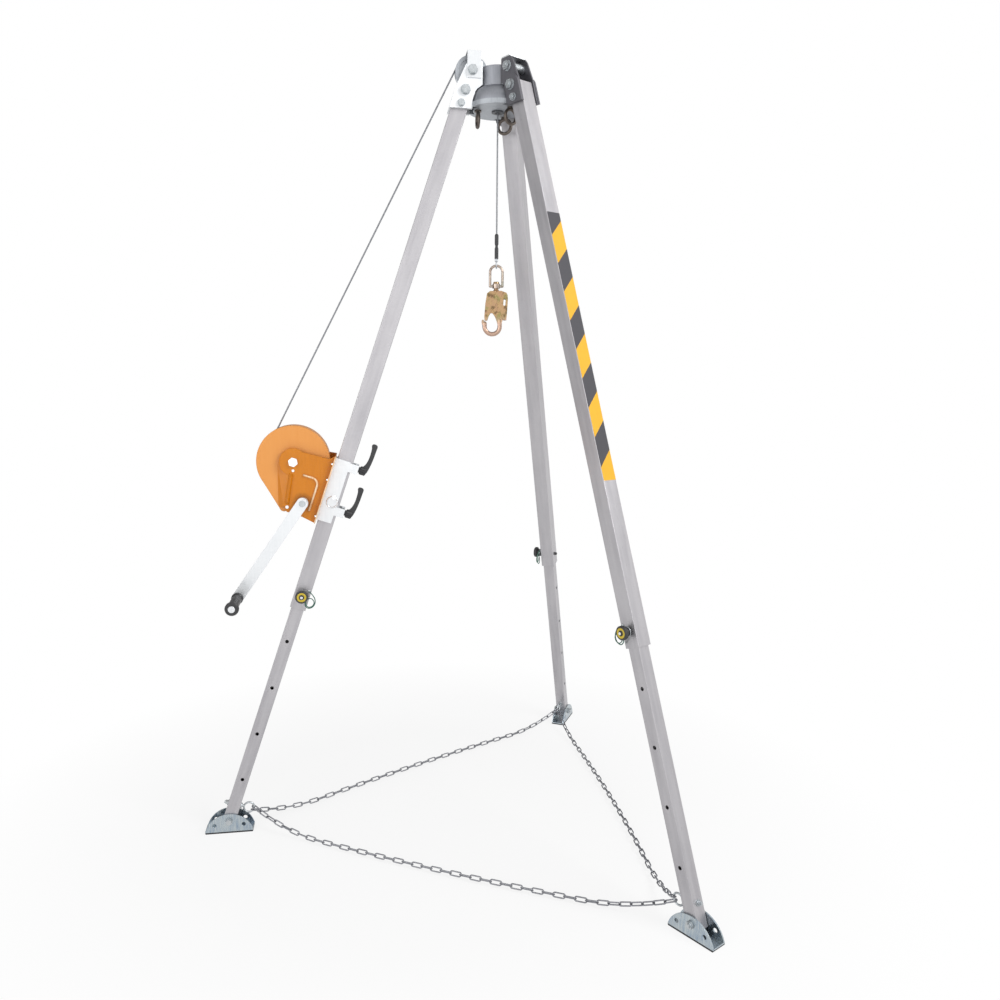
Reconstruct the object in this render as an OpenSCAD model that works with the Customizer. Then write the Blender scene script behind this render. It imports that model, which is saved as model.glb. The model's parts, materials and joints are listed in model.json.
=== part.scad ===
// Rescue tripod with a hand winch, a wire rope with a swivel snap hook, and a chain round the feet.
// Millimetres. Z is up and the floor is z = 0. The origin is the middle of the footprint's box.
// Leg a points to -X and carries the winch. Leg b is at 300 degrees and leg c at 60 degrees.
// On a leg, x is outward from its face, y runs round the head and z goes up the leg from the foot pivot.

/* [Stance] */
// Hinge bolt to foot pivot, as the legs are set in the photograph
leg_length = 2415; // [2000:5:2800]
// Lean of each leg from upright, in degrees
leg_angle = 18.4; // [15:0.1:21]
// Head axis to hinge bolt
hinge_radius = 105; // [102:1:120]
// Foot pivot above the floor
pivot_height = 40; // [38:1:48]

/* [Leg tubes] */
// Side of the square upper tube
outer_tube = 50; // [48:1:56]
// Wall of the upper tube
outer_wall = 4.5; // [4:0.5:5]
// Play on each side between the two tubes
tube_play = 0.5; // [0.3:0.1:0.8]
// Wall of the lower tube
inner_wall = 3; // [2:0.5:4]
// Corner radius of both tubes
tube_corner = 2; // [1:0.5:3]
// Lower end of the upper tube above the foot pivot
outer_end = 738; // [700:1:780]
// Top of the upper tube above the hinge bolt
tube_top = 12; // [11:0.5:13]
// Slotted end of the upper tube, down from the hinge bolt
slot_drop = 22; // [20:1:24]
// Length of the lower tube
inner_length = 1400; // [1300:10:1500]
// Lower tube below the foot pivot
inner_below = 18; // [14:1:20]
// Pitch of the height holes
hole_pitch = 160; // [140:5:170]
// First height hole above the foot pivot
hole_first = 145; // [130:1:160]
// Number of height holes
hole_count = 8; // [6:1:8]
// Height hole that the pin sits in, counted from 0 at the foot
pin_hole = 4; // [4:1:4]

/* [Locking pin] */
// Radius of the locking pin
pin_r = 5.5; // [4.5:0.1:6]
// Play round the pin in its holes
pin_play = 0.3; // [0.2:0.1:0.5]
// Radius of the pin's knob
knob_r = 20; // [16:1:22]
// Height of the knob's flange above the tube
knob_height = 33; // [28:1:34]

/* [Foot] */
// Length of the foot
foot_length = 150; // [130:2:170]
// Thickness of the rubber sole
sole = 5; // [4:0.5:6]
// Thickness of the foot's bent plate
foot_plate = 4; // [3:0.5:5]
// Top of the foot's side plates above the floor
foot_top = 64; // [60:1:72]
// Play between the lower tube and the side plates
foot_play = 1; // [0.8:0.1:1.5]
// Radius of the foot pivot bolt
foot_bolt_r = 6; // [5:0.5:7]
// Radius of the stake holes in the side plates
stake_r = 6.5; // [5:0.5:7]
// Stake holes from the pivot
stake_reach = 46; // [40:1:52]

/* [Head] */
// Radius of the hinge bolts
hinge_bolt_r = 8; // [7:0.5:9]
// Radius of the stop bolts
stop_bolt_r = 6; // [5:0.5:7]
// Stop bolt below the hinge bolt
stop_drop = 40; // [38:1:44]
// Thickness of the head's plates
cheek = 5; // [4:0.5:6]
// Play between a leg tube and its plates
cheek_play = 1; // [0.8:0.1:1.5]
// Radius of the bell's spigot
spigot_r = 56; // [54:1:57]
// Wall of the bell
bell_wall = 6; // [5:0.5:7]
// Thickness of the base plate
base_plate = 14; // [12:1:18]
// Ring radius of the head eyes, to the middle of the bar
eye_ring = 21; // [18:0.5:22]
// Bar radius of the head eyes
eye_bar = 5; // [4:0.5:5.5]
// Radius of the pulley
pulley_r = 50; // [48:0.5:50]
// Width of the pulley
pulley_width = 22; // [18:1:24]

/* [Rope] */
// Diameter of the wire rope
rope_d = 5; // [4:0.5:6]
// Wound radius on the drum
wound_r = 85; // [75:1:90]
// Rope below the base plate, down to its sleeve
rope_drop = 364; // [250:1:1200]

/* [Hook] */
// Turn of the hook about the rope
hook_yaw = -9.7; // [-180:0.1:180]
// Thickness of the hook's forging
hook_thick = 12; // [10:0.5:14]
// Bar radius of the swivel link
link_bar = 4; // [3.5:0.1:4.5]

/* [Winch] */
// Winch lock pin above the foot pivot
winch_at = 1115; // [1000:1:1400]
// Gear module
gear_module = 4.5; // [4.5:0.5:4.5]
// Teeth on the drum gear
gear_teeth = 45; // [45:1:45]
// Teeth on the crank pinion
pinion_teeth = 12; // [12:1:12]
// Radius of the drum cover
cover_r = 111; // [111:1:116]
// Sheet thickness of the winch frame and cover
sheet = 3; // [2:0.5:3]
// Crank arm from shaft to grip
crank_length = 354; // [250:1:380]
// Length of the crank grip
grip_length = 130; // [100:1:140]
// Radius of the shaft and of the drum axle
shaft_r = 10; // [9:0.5:11]

/* [Chain] */
// Wire radius of a link
link_wire = 2; // [1.8:0.1:2]
// Inside length of a link
link_inside = 32; // [30:0.5:34]
// Outside width of a link
link_width = 16; // [16:0.5:18]
// Links on each half of a run
half_links = 22; // [20:1:24]
// Slack of a run, outward at its middle
chain_slack = 30; // [10:1:60]
// Length over which the chain comes down from its eye
chain_drop = 260; // [200:10:400]
// Lowest part of a run above the floor
chain_clear = 8; // [6:1:20]

/* [Fits] */
// Seam between the upper tube and its slotted end
seam = 0.1; // [0.1:0.05:0.2]
// Running fit of a bolt or shaft in its bearing
fit = 0.08; // [0.04:0.01:0.1]
// Clearance between pieces that move past each other
gap = 0.4; // [0.3:0.05:0.6]

/* [Hidden] */
$fn = 48;

// Azimuth of each leg and the side that its pin goes in from
leg_azimuth = [180, 300, 60];
pin_side = [1, -1, 1];

// Heights and reaches that follow from the stance
hinge_z = pivot_height + leg_length * cos(leg_angle);
foot_reach = hinge_radius + leg_length * sin(leg_angle);
inner_tube = outer_tube - 2 * outer_wall - 2 * tube_play;
foot_width = inner_tube + 2 * foot_play + 2 * foot_plate;
toe_reach = foot_reach + foot_length / 2;
axis_x = (toe_reach - toe_reach * cos(60) - foot_width / 2 * sin(60)) / 2;
pin_at = hole_first + pin_hole * hole_pitch;

// Head levels, all from the hinge bolt
cheek_in = outer_tube / 2 + cheek_play;
cheek_mid = cheek_in + cheek;
cheek_out = cheek_mid + cheek + 1;
base_top = hinge_z - 33.5;
base_low = base_top - base_plate;
plate_low = base_low - 5;
plate_top = hinge_z + 86.5;
spigot_top = hinge_z + 72;
dome_arc = 50;
dome_r = spigot_r + 30;
dome_z = base_top + 4;
leg_flat = hinge_radius - outer_tube / 2 - 3;
pulley_x = hinge_radius - 22;
pulley_z = hinge_z + 59;
rope_r = rope_d / 2;
rope_pulley = pulley_r - 3.5;
hook_z = base_low - rope_drop;
bush_r = 14;

// Winch places on leg a: x is outward from the leg, z is up the leg
drum = [150, winch_at + 70];
gear_pitch = gear_module * gear_teeth / 2;
pinion_pitch = gear_module * pinion_teeth / 2;
shaft_angle = -120.2;
shaft = drum + (gear_pitch + pinion_pitch) * [cos(shaft_angle), sin(shaft_angle)];
apex = [135, winch_at - 73];
crank_angle = -73.8;
crank_end = shaft + crank_length * [cos(crank_angle), sin(crank_angle)];
saddle = 6;
frame_x = outer_tube / 2 + saddle;
frame_low = winch_at - 91;
frame_high = winch_at + 130;
frame_flange = 11;
frame_bolt_at = [winch_at - 69, winch_at + 50, winch_at + 101];
arch_r = 42;
apex_r = 14;
drum_core = 50;
drum_flange = 98;
rope_gate_long = 60;
rope_gate_wide = 44;
bracket_low = winch_at - 83;
bracket_high = winch_at + 120;
clamp_at = [winch_at - 42, winch_at + 103];
cover_back = -30;
cover_front = 44;
front_t = 56;
crank_t = 72;
crank_bar = 8;
lever_reach = 92;

// Rope from the drum to the pulley: the straight line that touches both on their outer side
pulley_leg = [(pulley_x - hinge_radius) * cos(leg_angle) + (pulley_z - hinge_z) * sin(leg_angle),
  leg_length - (pulley_x - hinge_radius) * sin(leg_angle) + (pulley_z - hinge_z) * cos(leg_angle)];
rope_drum = wound_r + rope_r + gap;
rope_line = pulley_leg - drum;
rope_lean = asin((rope_drum - rope_pulley) / norm(rope_line));
rope_turn = atan2(rope_line[1], rope_line[0]) - 90 + rope_lean;
rope_side = [cos(rope_turn), sin(rope_turn)];
rope_start = drum + rope_drum * rope_side;
rope_stop = pulley_leg + rope_pulley * rope_side;
rope_on = rope_turn + leg_angle;
// Rope from the pulley to the bush on the head's axis
bush_line = [-pulley_x, base_top - pulley_z];
rope_off = atan2(bush_line[1], bush_line[0]) + 360 - acos(rope_pulley / norm(bush_line));
rope_leave = [pulley_x, pulley_z] + rope_pulley * [cos(rope_off), sin(rope_off)];

// Chain eye on a leg and the run from it to the middle of the span
leg_eye_at = 50;
leg_eye_ring = 16.5;
leg_eye_bar = 3;
leg_eye_x = -48;
eye_reach = foot_reach - leg_eye_at * sin(leg_angle) + leg_eye_x * cos(leg_angle);
eye_height = pivot_height + leg_eye_at * cos(leg_angle) + leg_eye_x * sin(leg_angle);
link_bow = link_width / 2 - link_wire;
link_straight = link_inside - 2 * (link_bow - link_wire);
chain_floor = link_bow * sin(45) + link_wire + chain_clear;
first_link = 11;

// A place on leg i, and a place in the upright plane of leg i
module on_leg(i) {
  translate([axis_x, 0, hinge_z])
    rotate([0, 0, leg_azimuth[i]])
      translate([hinge_radius, 0, 0])
        rotate([0, -leg_angle, 0])
          translate([0, 0, -leg_length])
            children();
}

module on_sector(i) {
  translate([axis_x, 0, 0])
    rotate([0, 0, leg_azimuth[i]])
      children();
}

module on_axis() {
  translate([axis_x, 0, 0])
    children();
}

// A drawing in x and z made into a plate between two places on y
module upright(y0, y1) {
  translate([0, y1, 0])
    rotate([90, 0, 0])
      linear_extrude(y1 - y0)
        children();
}

// A round bar along y, and one along x
module bar_y(r, x, z, y0, y1) {
  translate([x, y1, z])
    rotate([90, 0, 0])
      cylinder(r = r, h = y1 - y0);
}

module bar_x(r, x0, x1, y, z) {
  translate([x0, y, z])
    rotate([0, 90, 0])
      cylinder(r = r, h = x1 - x0);
}

// Hexagon along y for bolt heads and nuts
module hex_y(across, x, z, y0, y1) {
  translate([x, y1, z])
    rotate([90, 0, 0])
      cylinder(r = across / sqrt(3), h = y1 - y0, $fn = 6);
}

module both_sides() {
  children();
  mirror([0, 1, 0])
    children();
}

// Square with round corners, in the middle of the drawing
module round_square(side, r) {
  square([side - 2 * r, side], center = true);
  square([side, side - 2 * r], center = true);
  for (x = [-1, 1], y = [-1, 1])
    translate([x, y] * (side / 2 - r))
      circle(r = r);
}

module square_tube(side, wall, low, high) {
  translate([0, 0, low])
    linear_extrude(high - low)
      difference() {
        round_square(side, tube_corner);
        square(side - 2 * wall, center = true);
      }
}

// A bolt along y with a hexagon head, a washer and a nut, outside a stack that ends at half
module through_bolt(r, x, z, half) {
  bar_y(r, x, z, -half - 1.2 * r - 5, half + 1);
  bar_y(1.9 * r, x, z, half, half + 2);
  bar_y(1.9 * r, x, z, -half - 2, -half);
  hex_y(3 * r, x, z, half + 1, half + 2 + 1.3 * r);
  hex_y(3 * r, x, z, -half - 2 - 1.1 * r, -half - 1);
}

// Head

// The bell: a dome that runs up into a spigot, open at the top, with a slot for each pulley place
module bell_outline(in) {
  intersection() {
    union() {
      translate([dome_r - dome_arc, dome_z])
        circle(r = dome_arc - in);
      square([dome_r - dome_arc, dome_z + dome_arc - in]);
      translate([0, base_top])
        square([dome_r - in, dome_z - base_top]);
      square([spigot_r - in, spigot_top + in]);
    }
    translate([0, base_top - in])
      square([dome_r, spigot_top - base_top + 2 * in]);
  }
}

module head_bell() {
  slot = pulley_width + 8;
  color("#b9bcc2")
    difference() {
      on_axis()
        rotate_extrude()
          difference() {
            bell_outline(0);
            bell_outline(bell_wall);
          }
      for (i = [0 : 2])
        on_sector(i) {
          translate([20, -slot / 2, hinge_z + 14])
            cube([spigot_r, slot, spigot_top]);
          translate([leg_flat, -cheek_in, base_low])
            cube([dome_r, 2 * cheek_in, spigot_top]);
        }
    }
}

// The base plate: a hub with a lobe in each gap between the legs, bored for the bush and the eyes
module head_base() {
  color("#8d9096")
    difference() {
      on_axis()
        translate([0, 0, base_low])
          linear_extrude(base_plate) {
            circle(r = leg_flat - 1);
            difference() {
              circle(r = dome_r + 6);
              for (i = [0 : 2])
                rotate(leg_azimuth[i])
                  translate([0, -cheek_out])
                    square([2 * dome_r, 2 * cheek_out]);
            }
          }
      on_axis()
        translate([0, 0, base_low - 1])
          cylinder(r = bush_r, h = base_plate + 2);
      for (i = [0 : 2])
        on_sector(i)
          translate([leg_flat - 15, 0, base_low - 1])
            cylinder(r = eye_bar + fit, h = base_plate + 2);
    }
}

// Tall inner plates: they stand round the bell and carry the hinge and pulley bolts
module side_plate_outline() {
  difference() {
    polygon([[spigot_r - 4, plate_top], [hinge_radius - 13, plate_top],
      [hinge_radius - 2, plate_top - 12], [hinge_radius + 25, hinge_z + 18],
      [hinge_radius + 47, plate_low], [dome_r - 2, plate_low], [dome_r - 2, base_top + 2],
      [dome_r - 5.5, hinge_z - 11], [dome_r - 17.5, hinge_z + 7], [spigot_r - 4, hinge_z + 19]]);
    translate([pulley_x, pulley_z])
      circle(r = hinge_bolt_r);
    translate([hinge_radius, hinge_z])
      circle(r = hinge_bolt_r);
    translate([hinge_radius, hinge_z] + stop_drop * [sin(leg_angle), -cos(leg_angle)])
      circle(r = stop_bolt_r);
  }
}

module head_side_plates() {
  color("#d3d5d8")
    for (i = [0 : 2])
      on_sector(i)
        both_sides()
          upright(cheek_in, cheek_mid)
            side_plate_outline();
}

// Short outer plates: round at the hinge bolt, flat at the base
module hinge_plate_outline() {
  round_r = 30;
  edge = [hinge_radius, hinge_z] + round_r * [cos(leg_angle), sin(leg_angle)];
  fall = edge[1] - plate_low;
  difference() {
    union() {
      translate([hinge_radius, hinge_z])
        circle(r = round_r);
      polygon([edge, [edge[0] + fall * tan(leg_angle), plate_low], [dome_r - 2, plate_low],
        [dome_r - 2, base_top + 2], [dome_r - 12, hinge_z + 4], [hinge_radius - 12, hinge_z + 27]]);
    }
    translate([hinge_radius, hinge_z])
      circle(r = hinge_bolt_r);
    translate([hinge_radius, hinge_z] + stop_drop * [sin(leg_angle), -cos(leg_angle)])
      circle(r = stop_bolt_r);
  }
}

module head_hinge_plates() {
  color("#dfe1e4")
    for (i = [0 : 2])
      on_sector(i)
        both_sides()
          upright(cheek_mid, cheek_out)
            hinge_plate_outline();
}

// A rope guard over the pulley on leg a, and a strap across the plates of the other two legs
module head_bridges() {
  guard_top = pulley_z + pulley_r + 3;
  color("#e4e6e8") {
    on_sector(0)
      difference() {
        translate([pulley_x - 26, -cheek_mid - 3, pulley_z - 22])
          cube([42, 2 * cheek_mid + 6, guard_top + 3 - pulley_z + 22]);
        translate([pulley_x - 27, -cheek_mid, pulley_z - 23])
          cube([44, 2 * cheek_mid, guard_top - pulley_z + 23]);
        bar_y(hinge_bolt_r, pulley_x, pulley_z, -cheek_mid - 4, cheek_mid + 4);
      }
    for (i = [1, 2])
      on_sector(i)
        translate([spigot_r - 2, -cheek_mid, plate_top])
          cube([hinge_radius - spigot_r - 13, 2 * cheek_mid, 3]);
  }
}

module hinge_bolts() {
  color("#c8cacd")
    for (i = [0 : 2])
      on_sector(i)
        through_bolt(hinge_bolt_r, hinge_radius, hinge_z, cheek_out);
}

module stop_bolts() {
  at = [hinge_radius, hinge_z] + stop_drop * [sin(leg_angle), -cos(leg_angle)];
  color("#c8cacd")
    for (i = [0 : 2])
      on_sector(i)
        through_bolt(stop_bolt_r, at[0], at[1], cheek_out);
}

// Pulley bolts, with spacer sleeves that hold the pulley in the middle on leg a
module pulley_bolts() {
  sleeve = hinge_bolt_r + 5;
  color("#c8cacd")
    for (i = [0 : 2])
      on_sector(i) {
        through_bolt(hinge_bolt_r, pulley_x, pulley_z, i == 0 ? cheek_mid + 3 : cheek_mid);
        both_sides()
          bar_y(sleeve, pulley_x, pulley_z, i == 0 ? pulley_width / 2 + gap : 0, cheek_in);
      }
}

// Eye bolts under the base plate
module head_eyes() {
  color("#6f6760")
    for (i = [0 : 2])
      on_sector(i)
        translate([leg_flat - 15, 0, base_low]) {
          translate([0, 0, -eye_ring - eye_bar - 1])
            rotate([0, 90, 0])
              rotate_extrude()
                translate([eye_ring, 0])
                  circle(r = eye_bar);
          translate([0, 0, -4])
            cylinder(r = 2.2 * eye_bar, h = 4);
          translate([0, 0, -4])
            cylinder(r = eye_bar, h = base_plate + 16);
          translate([0, 0, base_plate])
            cylinder(r = 9.5, h = 8, $fn = 6);
        }
}

// Bush that turns the rope down the head's axis
module rope_bush() {
  lip = 5;
  color("#50545a")
    on_axis()
      rotate_extrude()
        difference() {
          union() {
            translate([0, base_low - 4])
              square([bush_r, base_plate + 8]);
            translate([0, base_low - 4])
              square([bush_r + 5, 4]);
          }
          translate([0, base_low - 5])
            square([rope_r + 3, base_plate + 10]);
          for (s = [base_low - 4, base_top + 4])
            translate([0, s])
              rotate(45)
                square((rope_r + 3 + lip) * sqrt(2), center = true);
        }
}

module pulley() {
  half = pulley_width / 2;
  groove = rope_pulley - rope_r - gap;
  color("#d8dadd")
    on_sector(0)
      translate([pulley_x, 0, pulley_z])
        rotate([90, 0, 0])
          rotate_extrude()
            difference() {
              translate([hinge_bolt_r + fit, -half])
                square([pulley_r - hinge_bolt_r - fit, 2 * half]);
              polygon([[groove, -rope_r - 0.5], [groove, rope_r + 0.5], [pulley_r + 1, half - 3],
                [pulley_r + 1, 3 - half]]);
              for (s = [-1, 1])
                translate([hinge_bolt_r + 9, s * half - 2])
                  square([groove - hinge_bolt_r - 14, 4]);
            }
}

// Legs

// Slot for the stop bolt, an arc about the hinge that lets the leg fold to upright
module stop_slot() {
  slot = stop_bolt_r + gap;
  translate([0, leg_length]) {
    for (a = [0, leg_angle])
      rotate(a)
        translate([0, -stop_drop])
          circle(r = slot);
    intersection() {
      difference() {
        circle(r = stop_drop + slot);
        circle(r = stop_drop - slot);
      }
      polygon([[0, 0], [0, -2 * stop_drop], [2 * stop_drop * tan(leg_angle), -2 * stop_drop]]);
    }
  }
}

module leg_outer(i) {
  wide = outer_tube / 2 + 1;
  split = leg_length - slot_drop;
  color("#c9ccd1")
    on_leg(i) {
      difference() {
        square_tube(outer_tube, outer_wall, outer_end, split - seam);
        upright(-wide, wide)
          stop_slot();
        bar_y(pin_r + pin_play, 0, pin_at, -wide, wide);
        bar_y(4.3, 0, winch_at, 0, wide);
      }
      difference() {
        square_tube(outer_tube, outer_wall, split, leg_length + 2 * tube_top + 10);
        translate([0, 0, leg_length])
          rotate([0, leg_angle, 0])
            translate([-outer_tube, -outer_tube, tube_top])
              cube([2 * outer_tube, 2 * outer_tube, 3 * outer_tube]);
        translate([-wide, -pulley_width / 2 - 4, split - 1])
          cube([outer_wall + 2, pulley_width + 8, 2 * outer_tube]);
        bar_y(hinge_bolt_r + fit, 0, leg_length, -wide, wide);
      }
    }
}

// Lower tube with its height holes, and the plastic glide in its top
module leg_inner(i) {
  wide = inner_tube / 2 + 1;
  top = inner_length - inner_below;
  color("#c4c7cc")
    on_leg(i)
      difference() {
        square_tube(inner_tube, inner_wall, -inner_below, top);
        for (k = [0 : hole_count - 1])
          bar_y(pin_r + pin_play, 0, hole_first + k * hole_pitch, -wide, wide);
        bar_y(foot_bolt_r, 0, 0, -wide, wide);
        bar_x(4, -wide, wide, 0, leg_eye_at);
      }
  color("#2b2c2e")
    on_leg(i)
      translate([0, 0, top])
        linear_extrude(20)
          difference() {
            round_square(inner_tube + tube_play, tube_corner);
            circle(r = inner_tube / 3);
          }
}

// Bolts on the lower tube: the foot's pivot and the chain's eye with its nut
module leg_bolts(i) {
  half = inner_tube / 2;
  color("#c8cacd")
    on_leg(i) {
      through_bolt(foot_bolt_r, 0, 0, foot_width / 2 + gap);
      translate([leg_eye_x, 0, leg_eye_at])
        rotate([90, 0, 0])
          rotate_extrude()
            translate([leg_eye_ring, 0])
              circle(r = leg_eye_bar);
      bar_x(4, leg_eye_x + leg_eye_ring, half + 13, 0, leg_eye_at);
      bar_x(8, -half - 5, -half, 0, leg_eye_at);
      bar_x(9, half, half + 2, 0, leg_eye_at);
      translate([half + 1, 0, leg_eye_at])
        rotate([0, 90, 0])
          cylinder(r = 7.5, h = 8, $fn = 6);
    }
}

// Foot: one plate bent up on both sides into rounded cheeks with stake holes
module leg_foot(i) {
  disc = (pow(foot_length / 2, 2) + pow(foot_top - sole, 2)) / (2 * (foot_top - sole));
  half = foot_width / 2;
  color("#cfd3d6")
    on_sector(i)
      translate([foot_reach, 0, 0]) {
        translate([-foot_length / 2, -half, sole])
          cube([foot_length, foot_width, foot_plate]);
        both_sides()
          upright(half - foot_plate, half)
            difference() {
              intersection() {
                translate([0, foot_top - disc])
                  circle(r = disc);
                translate([-foot_length / 2, sole])
                  square([foot_length, foot_top]);
              }
              translate([0, pivot_height])
                circle(r = foot_bolt_r + fit);
              for (s = [-1, 1])
                translate([s * stake_reach, pivot_height - 12])
                  circle(r = stake_r);
            }
      }
}

module leg_sole(i) {
  bevel = 2;
  color("#26272a")
    on_sector(i)
      translate([foot_reach, 0, 0])
        upright(-foot_width / 2, foot_width / 2)
          polygon([[-foot_length / 2 + bevel, 0], [foot_length / 2 - bevel, 0],
            [foot_length / 2, bevel], [foot_length / 2, sole], [-foot_length / 2, sole],
            [-foot_length / 2, bevel]]);
}

// A place on leg i's pin: z runs out of the tube's face along the pin
module on_pin(i) {
  on_leg(i)
    translate([0, 0, pin_at])
      rotate([-90 * pin_side[i], 0, 0])
        children();
}

// Locking pin: shank with a bevelled tip and two balls, and a flanged knob bored for the button
module leg_pin(i) {
  face = outer_tube / 2;
  color("#2a2b2d")
    on_pin(i)
      difference() {
        union() {
          translate([0, 0, -face - 9])
            cylinder(r1 = pin_r - 2, r2 = pin_r, h = 3);
          translate([0, 0, -face - 6])
            cylinder(r = pin_r, h = 2 * face + 10);
          for (s = [-1, 1])
            translate([s * (pin_r - 1.8), 0, -face - 3])
              sphere(r = 2);
          translate([0, 0, face + gap])
            cylinder(r = 0.65 * knob_r, h = knob_height - 14);
          translate([0, 0, face + knob_height - 14])
            rotate_extrude()
              polygon([[0, 0], [knob_r - 3, 0], [knob_r, 3], [knob_r, 11], [knob_r - 3, 14],
                [knob_r - 5, 14], [knob_r - 5, 12.5], [0, 12.5]]);
        }
        translate([0, 0, face + knob_height - 10])
          cylinder(r = 4.6, h = 20);
      }
}

// Release button in the knob
module leg_button(i) {
  color("#d5d7da")
    on_pin(i)
      translate([0, 0, outer_tube / 2 + knob_height - 6]) {
        cylinder(r = 4.6 - gap, h = 10);
        translate([0, 0, 8])
          cylinder(r1 = 4.6 - gap, r2 = 3, h = 2);
      }
}

// Cord helpers: a smooth line through hand-chosen points, and a round tube along it
function smooth_point(p, i, t) =
  let (a = p[max(i - 1, 0)], b = p[i], c = p[i + 1], d = p[min(i + 2, len(p) - 1)])
  0.5 * (2 * b + (c - a) * t + (2 * a - 5 * b + 4 * c - d) * t * t
    + (3 * b - a - 3 * c + d) * t * t * t);
function smooth_line(p, steps) =
  [for (i = [0 : len(p) - 2], k = [0 : steps - 1]) smooth_point(p, i, k / steps), p[len(p) - 1]];
function unit(v) = v / norm(v);
function ring_at(line, i, r, sides) =
  let (ahead = unit(line[min(i + 1, len(line) - 1)] - line[max(i - 1, 0)]),
    side = unit(cross(ahead, [0.3, 1, 0.1])), up = cross(side, ahead))
  [for (k = [0 : sides - 1]) line[i] + r * (cos(360 * k / sides) * side + sin(360 * k / sides) * up)];

module cord(line, r, sides) {
  n = len(line);
  points = [for (i = [0 : n - 1]) each ring_at(line, i, r, sides)];
  walls = [for (i = [0 : n - 2], k = [0 : sides - 1])
    [i * sides + k, i * sides + (k + 1) % sides, (i + 1) * sides + (k + 1) % sides, (i + 1) * sides + k]];
  ends = [[for (k = [sides - 1 : -1 : 0]) k], [for (k = [0 : sides - 1]) (n - 1) * sides + k]];
  polyhedron(points = points, faces = concat(walls, ends), convexity = 6);
}

// Lanyard: from a rivet on the tube it hangs in one loop and ends in an eye round the pin's neck
lanyard_route = [[-17, 27, 18], [-20, 31, 17], [-30, 34, 12], [-41, 35, 2], [-46, 36, -12],
  [-42, 37, -26], [-31, 37, -33], [-20, 37, -28], [-15, 36, -17], [-15, 35, -7], [-14.5, 34, 0]];

module leg_lanyard(i) {
  neck = 0.65 * knob_r;
  color("#1f5a48")
    on_leg(i)
      mirror([0, pin_side[i] > 0 ? 0 : 1, 0])
        translate([0, 0, pin_at]) {
          cord(smooth_line(lanyard_route, 5), 1.5, 8);
          translate([0, 34, 0])
            rotate([90, 0, 0])
              rotate_extrude()
                translate([neck + 1.5 + gap / 2, 0])
                  circle(r = 1.3);
          bar_y(4, -17, 18, outer_tube / 2, outer_tube / 2 + 3);
        }
}

// Chain

module chain_link() {
  for (s = [0, 180])
    rotate(s) {
      translate([link_straight / 2, 0, 0])
        rotate(-90)
          rotate_extrude(angle = 180, $fn = 24)
            translate([link_bow, 0])
              circle(r = link_wire, $fn = 16);
      translate([-link_straight / 2, link_bow, 0])
        rotate([0, 90, 0])
          cylinder(r = link_wire, h = link_straight, $fn = 16);
    }
}

// Two runs hang on the lower inner side of a leg's eye, one above the other
function hook_angle(side) = side > 0 ? 2 : 38;
function run_start(side) = eye_reach - leg_eye_ring * cos(hook_angle(side));
function run_top(side) = eye_height - leg_eye_ring * sin(hook_angle(side));
function run_span(side) = run_start(side) * sin(60);
// The run from the eye to the middle of the span, by the distance c along the straight span
function run_fall(c) = pow(max(0, 1 - c / chain_drop), 2);
function run_bow(c, side) =
  (chain_slack + (run_start(1) - run_start(side)) / 2) * (1 - pow(1 - c / run_span(side), 2));
function run_point(c, side) =
  [run_start(side) - c * cos(30) + run_bow(c, side) * cos(60),
    side * (c * sin(30) + run_bow(c, side) * sin(60)),
    chain_floor + (run_top(side) - chain_floor) * run_fall(c)];
function run_length(c, side) =
  c >= run_span(side) ? 0
  : norm(run_point(min(c + 10, run_span(side)), side) - run_point(c, side)) + run_length(c + 10, side);
// How much further along the span the path is s longer
function run_step(c, s, side) =
  let (h = s / 2, slope = norm(run_point(c + h, side) - run_point(c, side)) / h,
    far = norm(run_point(c + s / slope, side) - run_point(c, side)))
  s / slope * s / far;
function run_places(k, c, s, side) =
  k == 0 ? [c] : concat([c], run_places(k - 1, c + run_step(c, s, side), s, side));

module chain_half(side) {
  pitch = (run_length(0, side) - first_link) / (half_links - 0.5);
  places = run_places(half_links - 1, run_step(0, first_link, side), pitch, side);
  for (k = [0 : half_links - 1]) {
    at = run_point(places[k], side);
    way = unit(run_point(places[k] + 1, side) - run_point(max(places[k] - 1, 0), side));
    settle = min(k / 8, 1) * 45;
    translate(at)
      rotate([0, -asin(way[2]), atan2(way[1], way[0])])
        rotate([k % 2 * 90 - settle, 0, 0])
          chain_link();
  }
}

module leg_chain(i) {
  color("#c6cacd")
    on_sector(i) {
      chain_half(1);
      chain_half(-1);
    }
}

// Winch

// Saddle that wraps the tube from outside, with an ear on each side at each clamp
module winch_bracket() {
  side = outer_tube / 2 + gap;
  thick = 5;
  color("#e2e4e6")
    on_leg(0)
      difference() {
        union() {
          translate([outer_tube / 2, -side - thick, bracket_low])
            cube([saddle, 2 * (side + thick), bracket_high - bracket_low]);
          both_sides() {
            translate([-17, side, bracket_low])
              cube([outer_tube / 2 + 18, thick, bracket_high - bracket_low]);
            for (z = clamp_at)
              translate([-46, side, z - 14])
                cube([40, thick, 28]);
          }
        }
        bar_y(4.3, 0, winch_at, 0, 2 * side);
      }
}

// Cross bar between the ears at each clamp, and the pad that presses on the tube
module winch_clamps() {
  side = outer_tube / 2 + gap;
  color("#d9dbde")
    on_leg(0)
      for (z = clamp_at) {
        difference() {
          translate([-45, -side, z - 11])
            cube([9, 2 * side, 22]);
          bar_x(6, -50, -30, 0, z);
        }
        bar_x(12, -outer_tube / 2 - 4, -outer_tube / 2, 0, z);
      }
}

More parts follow.
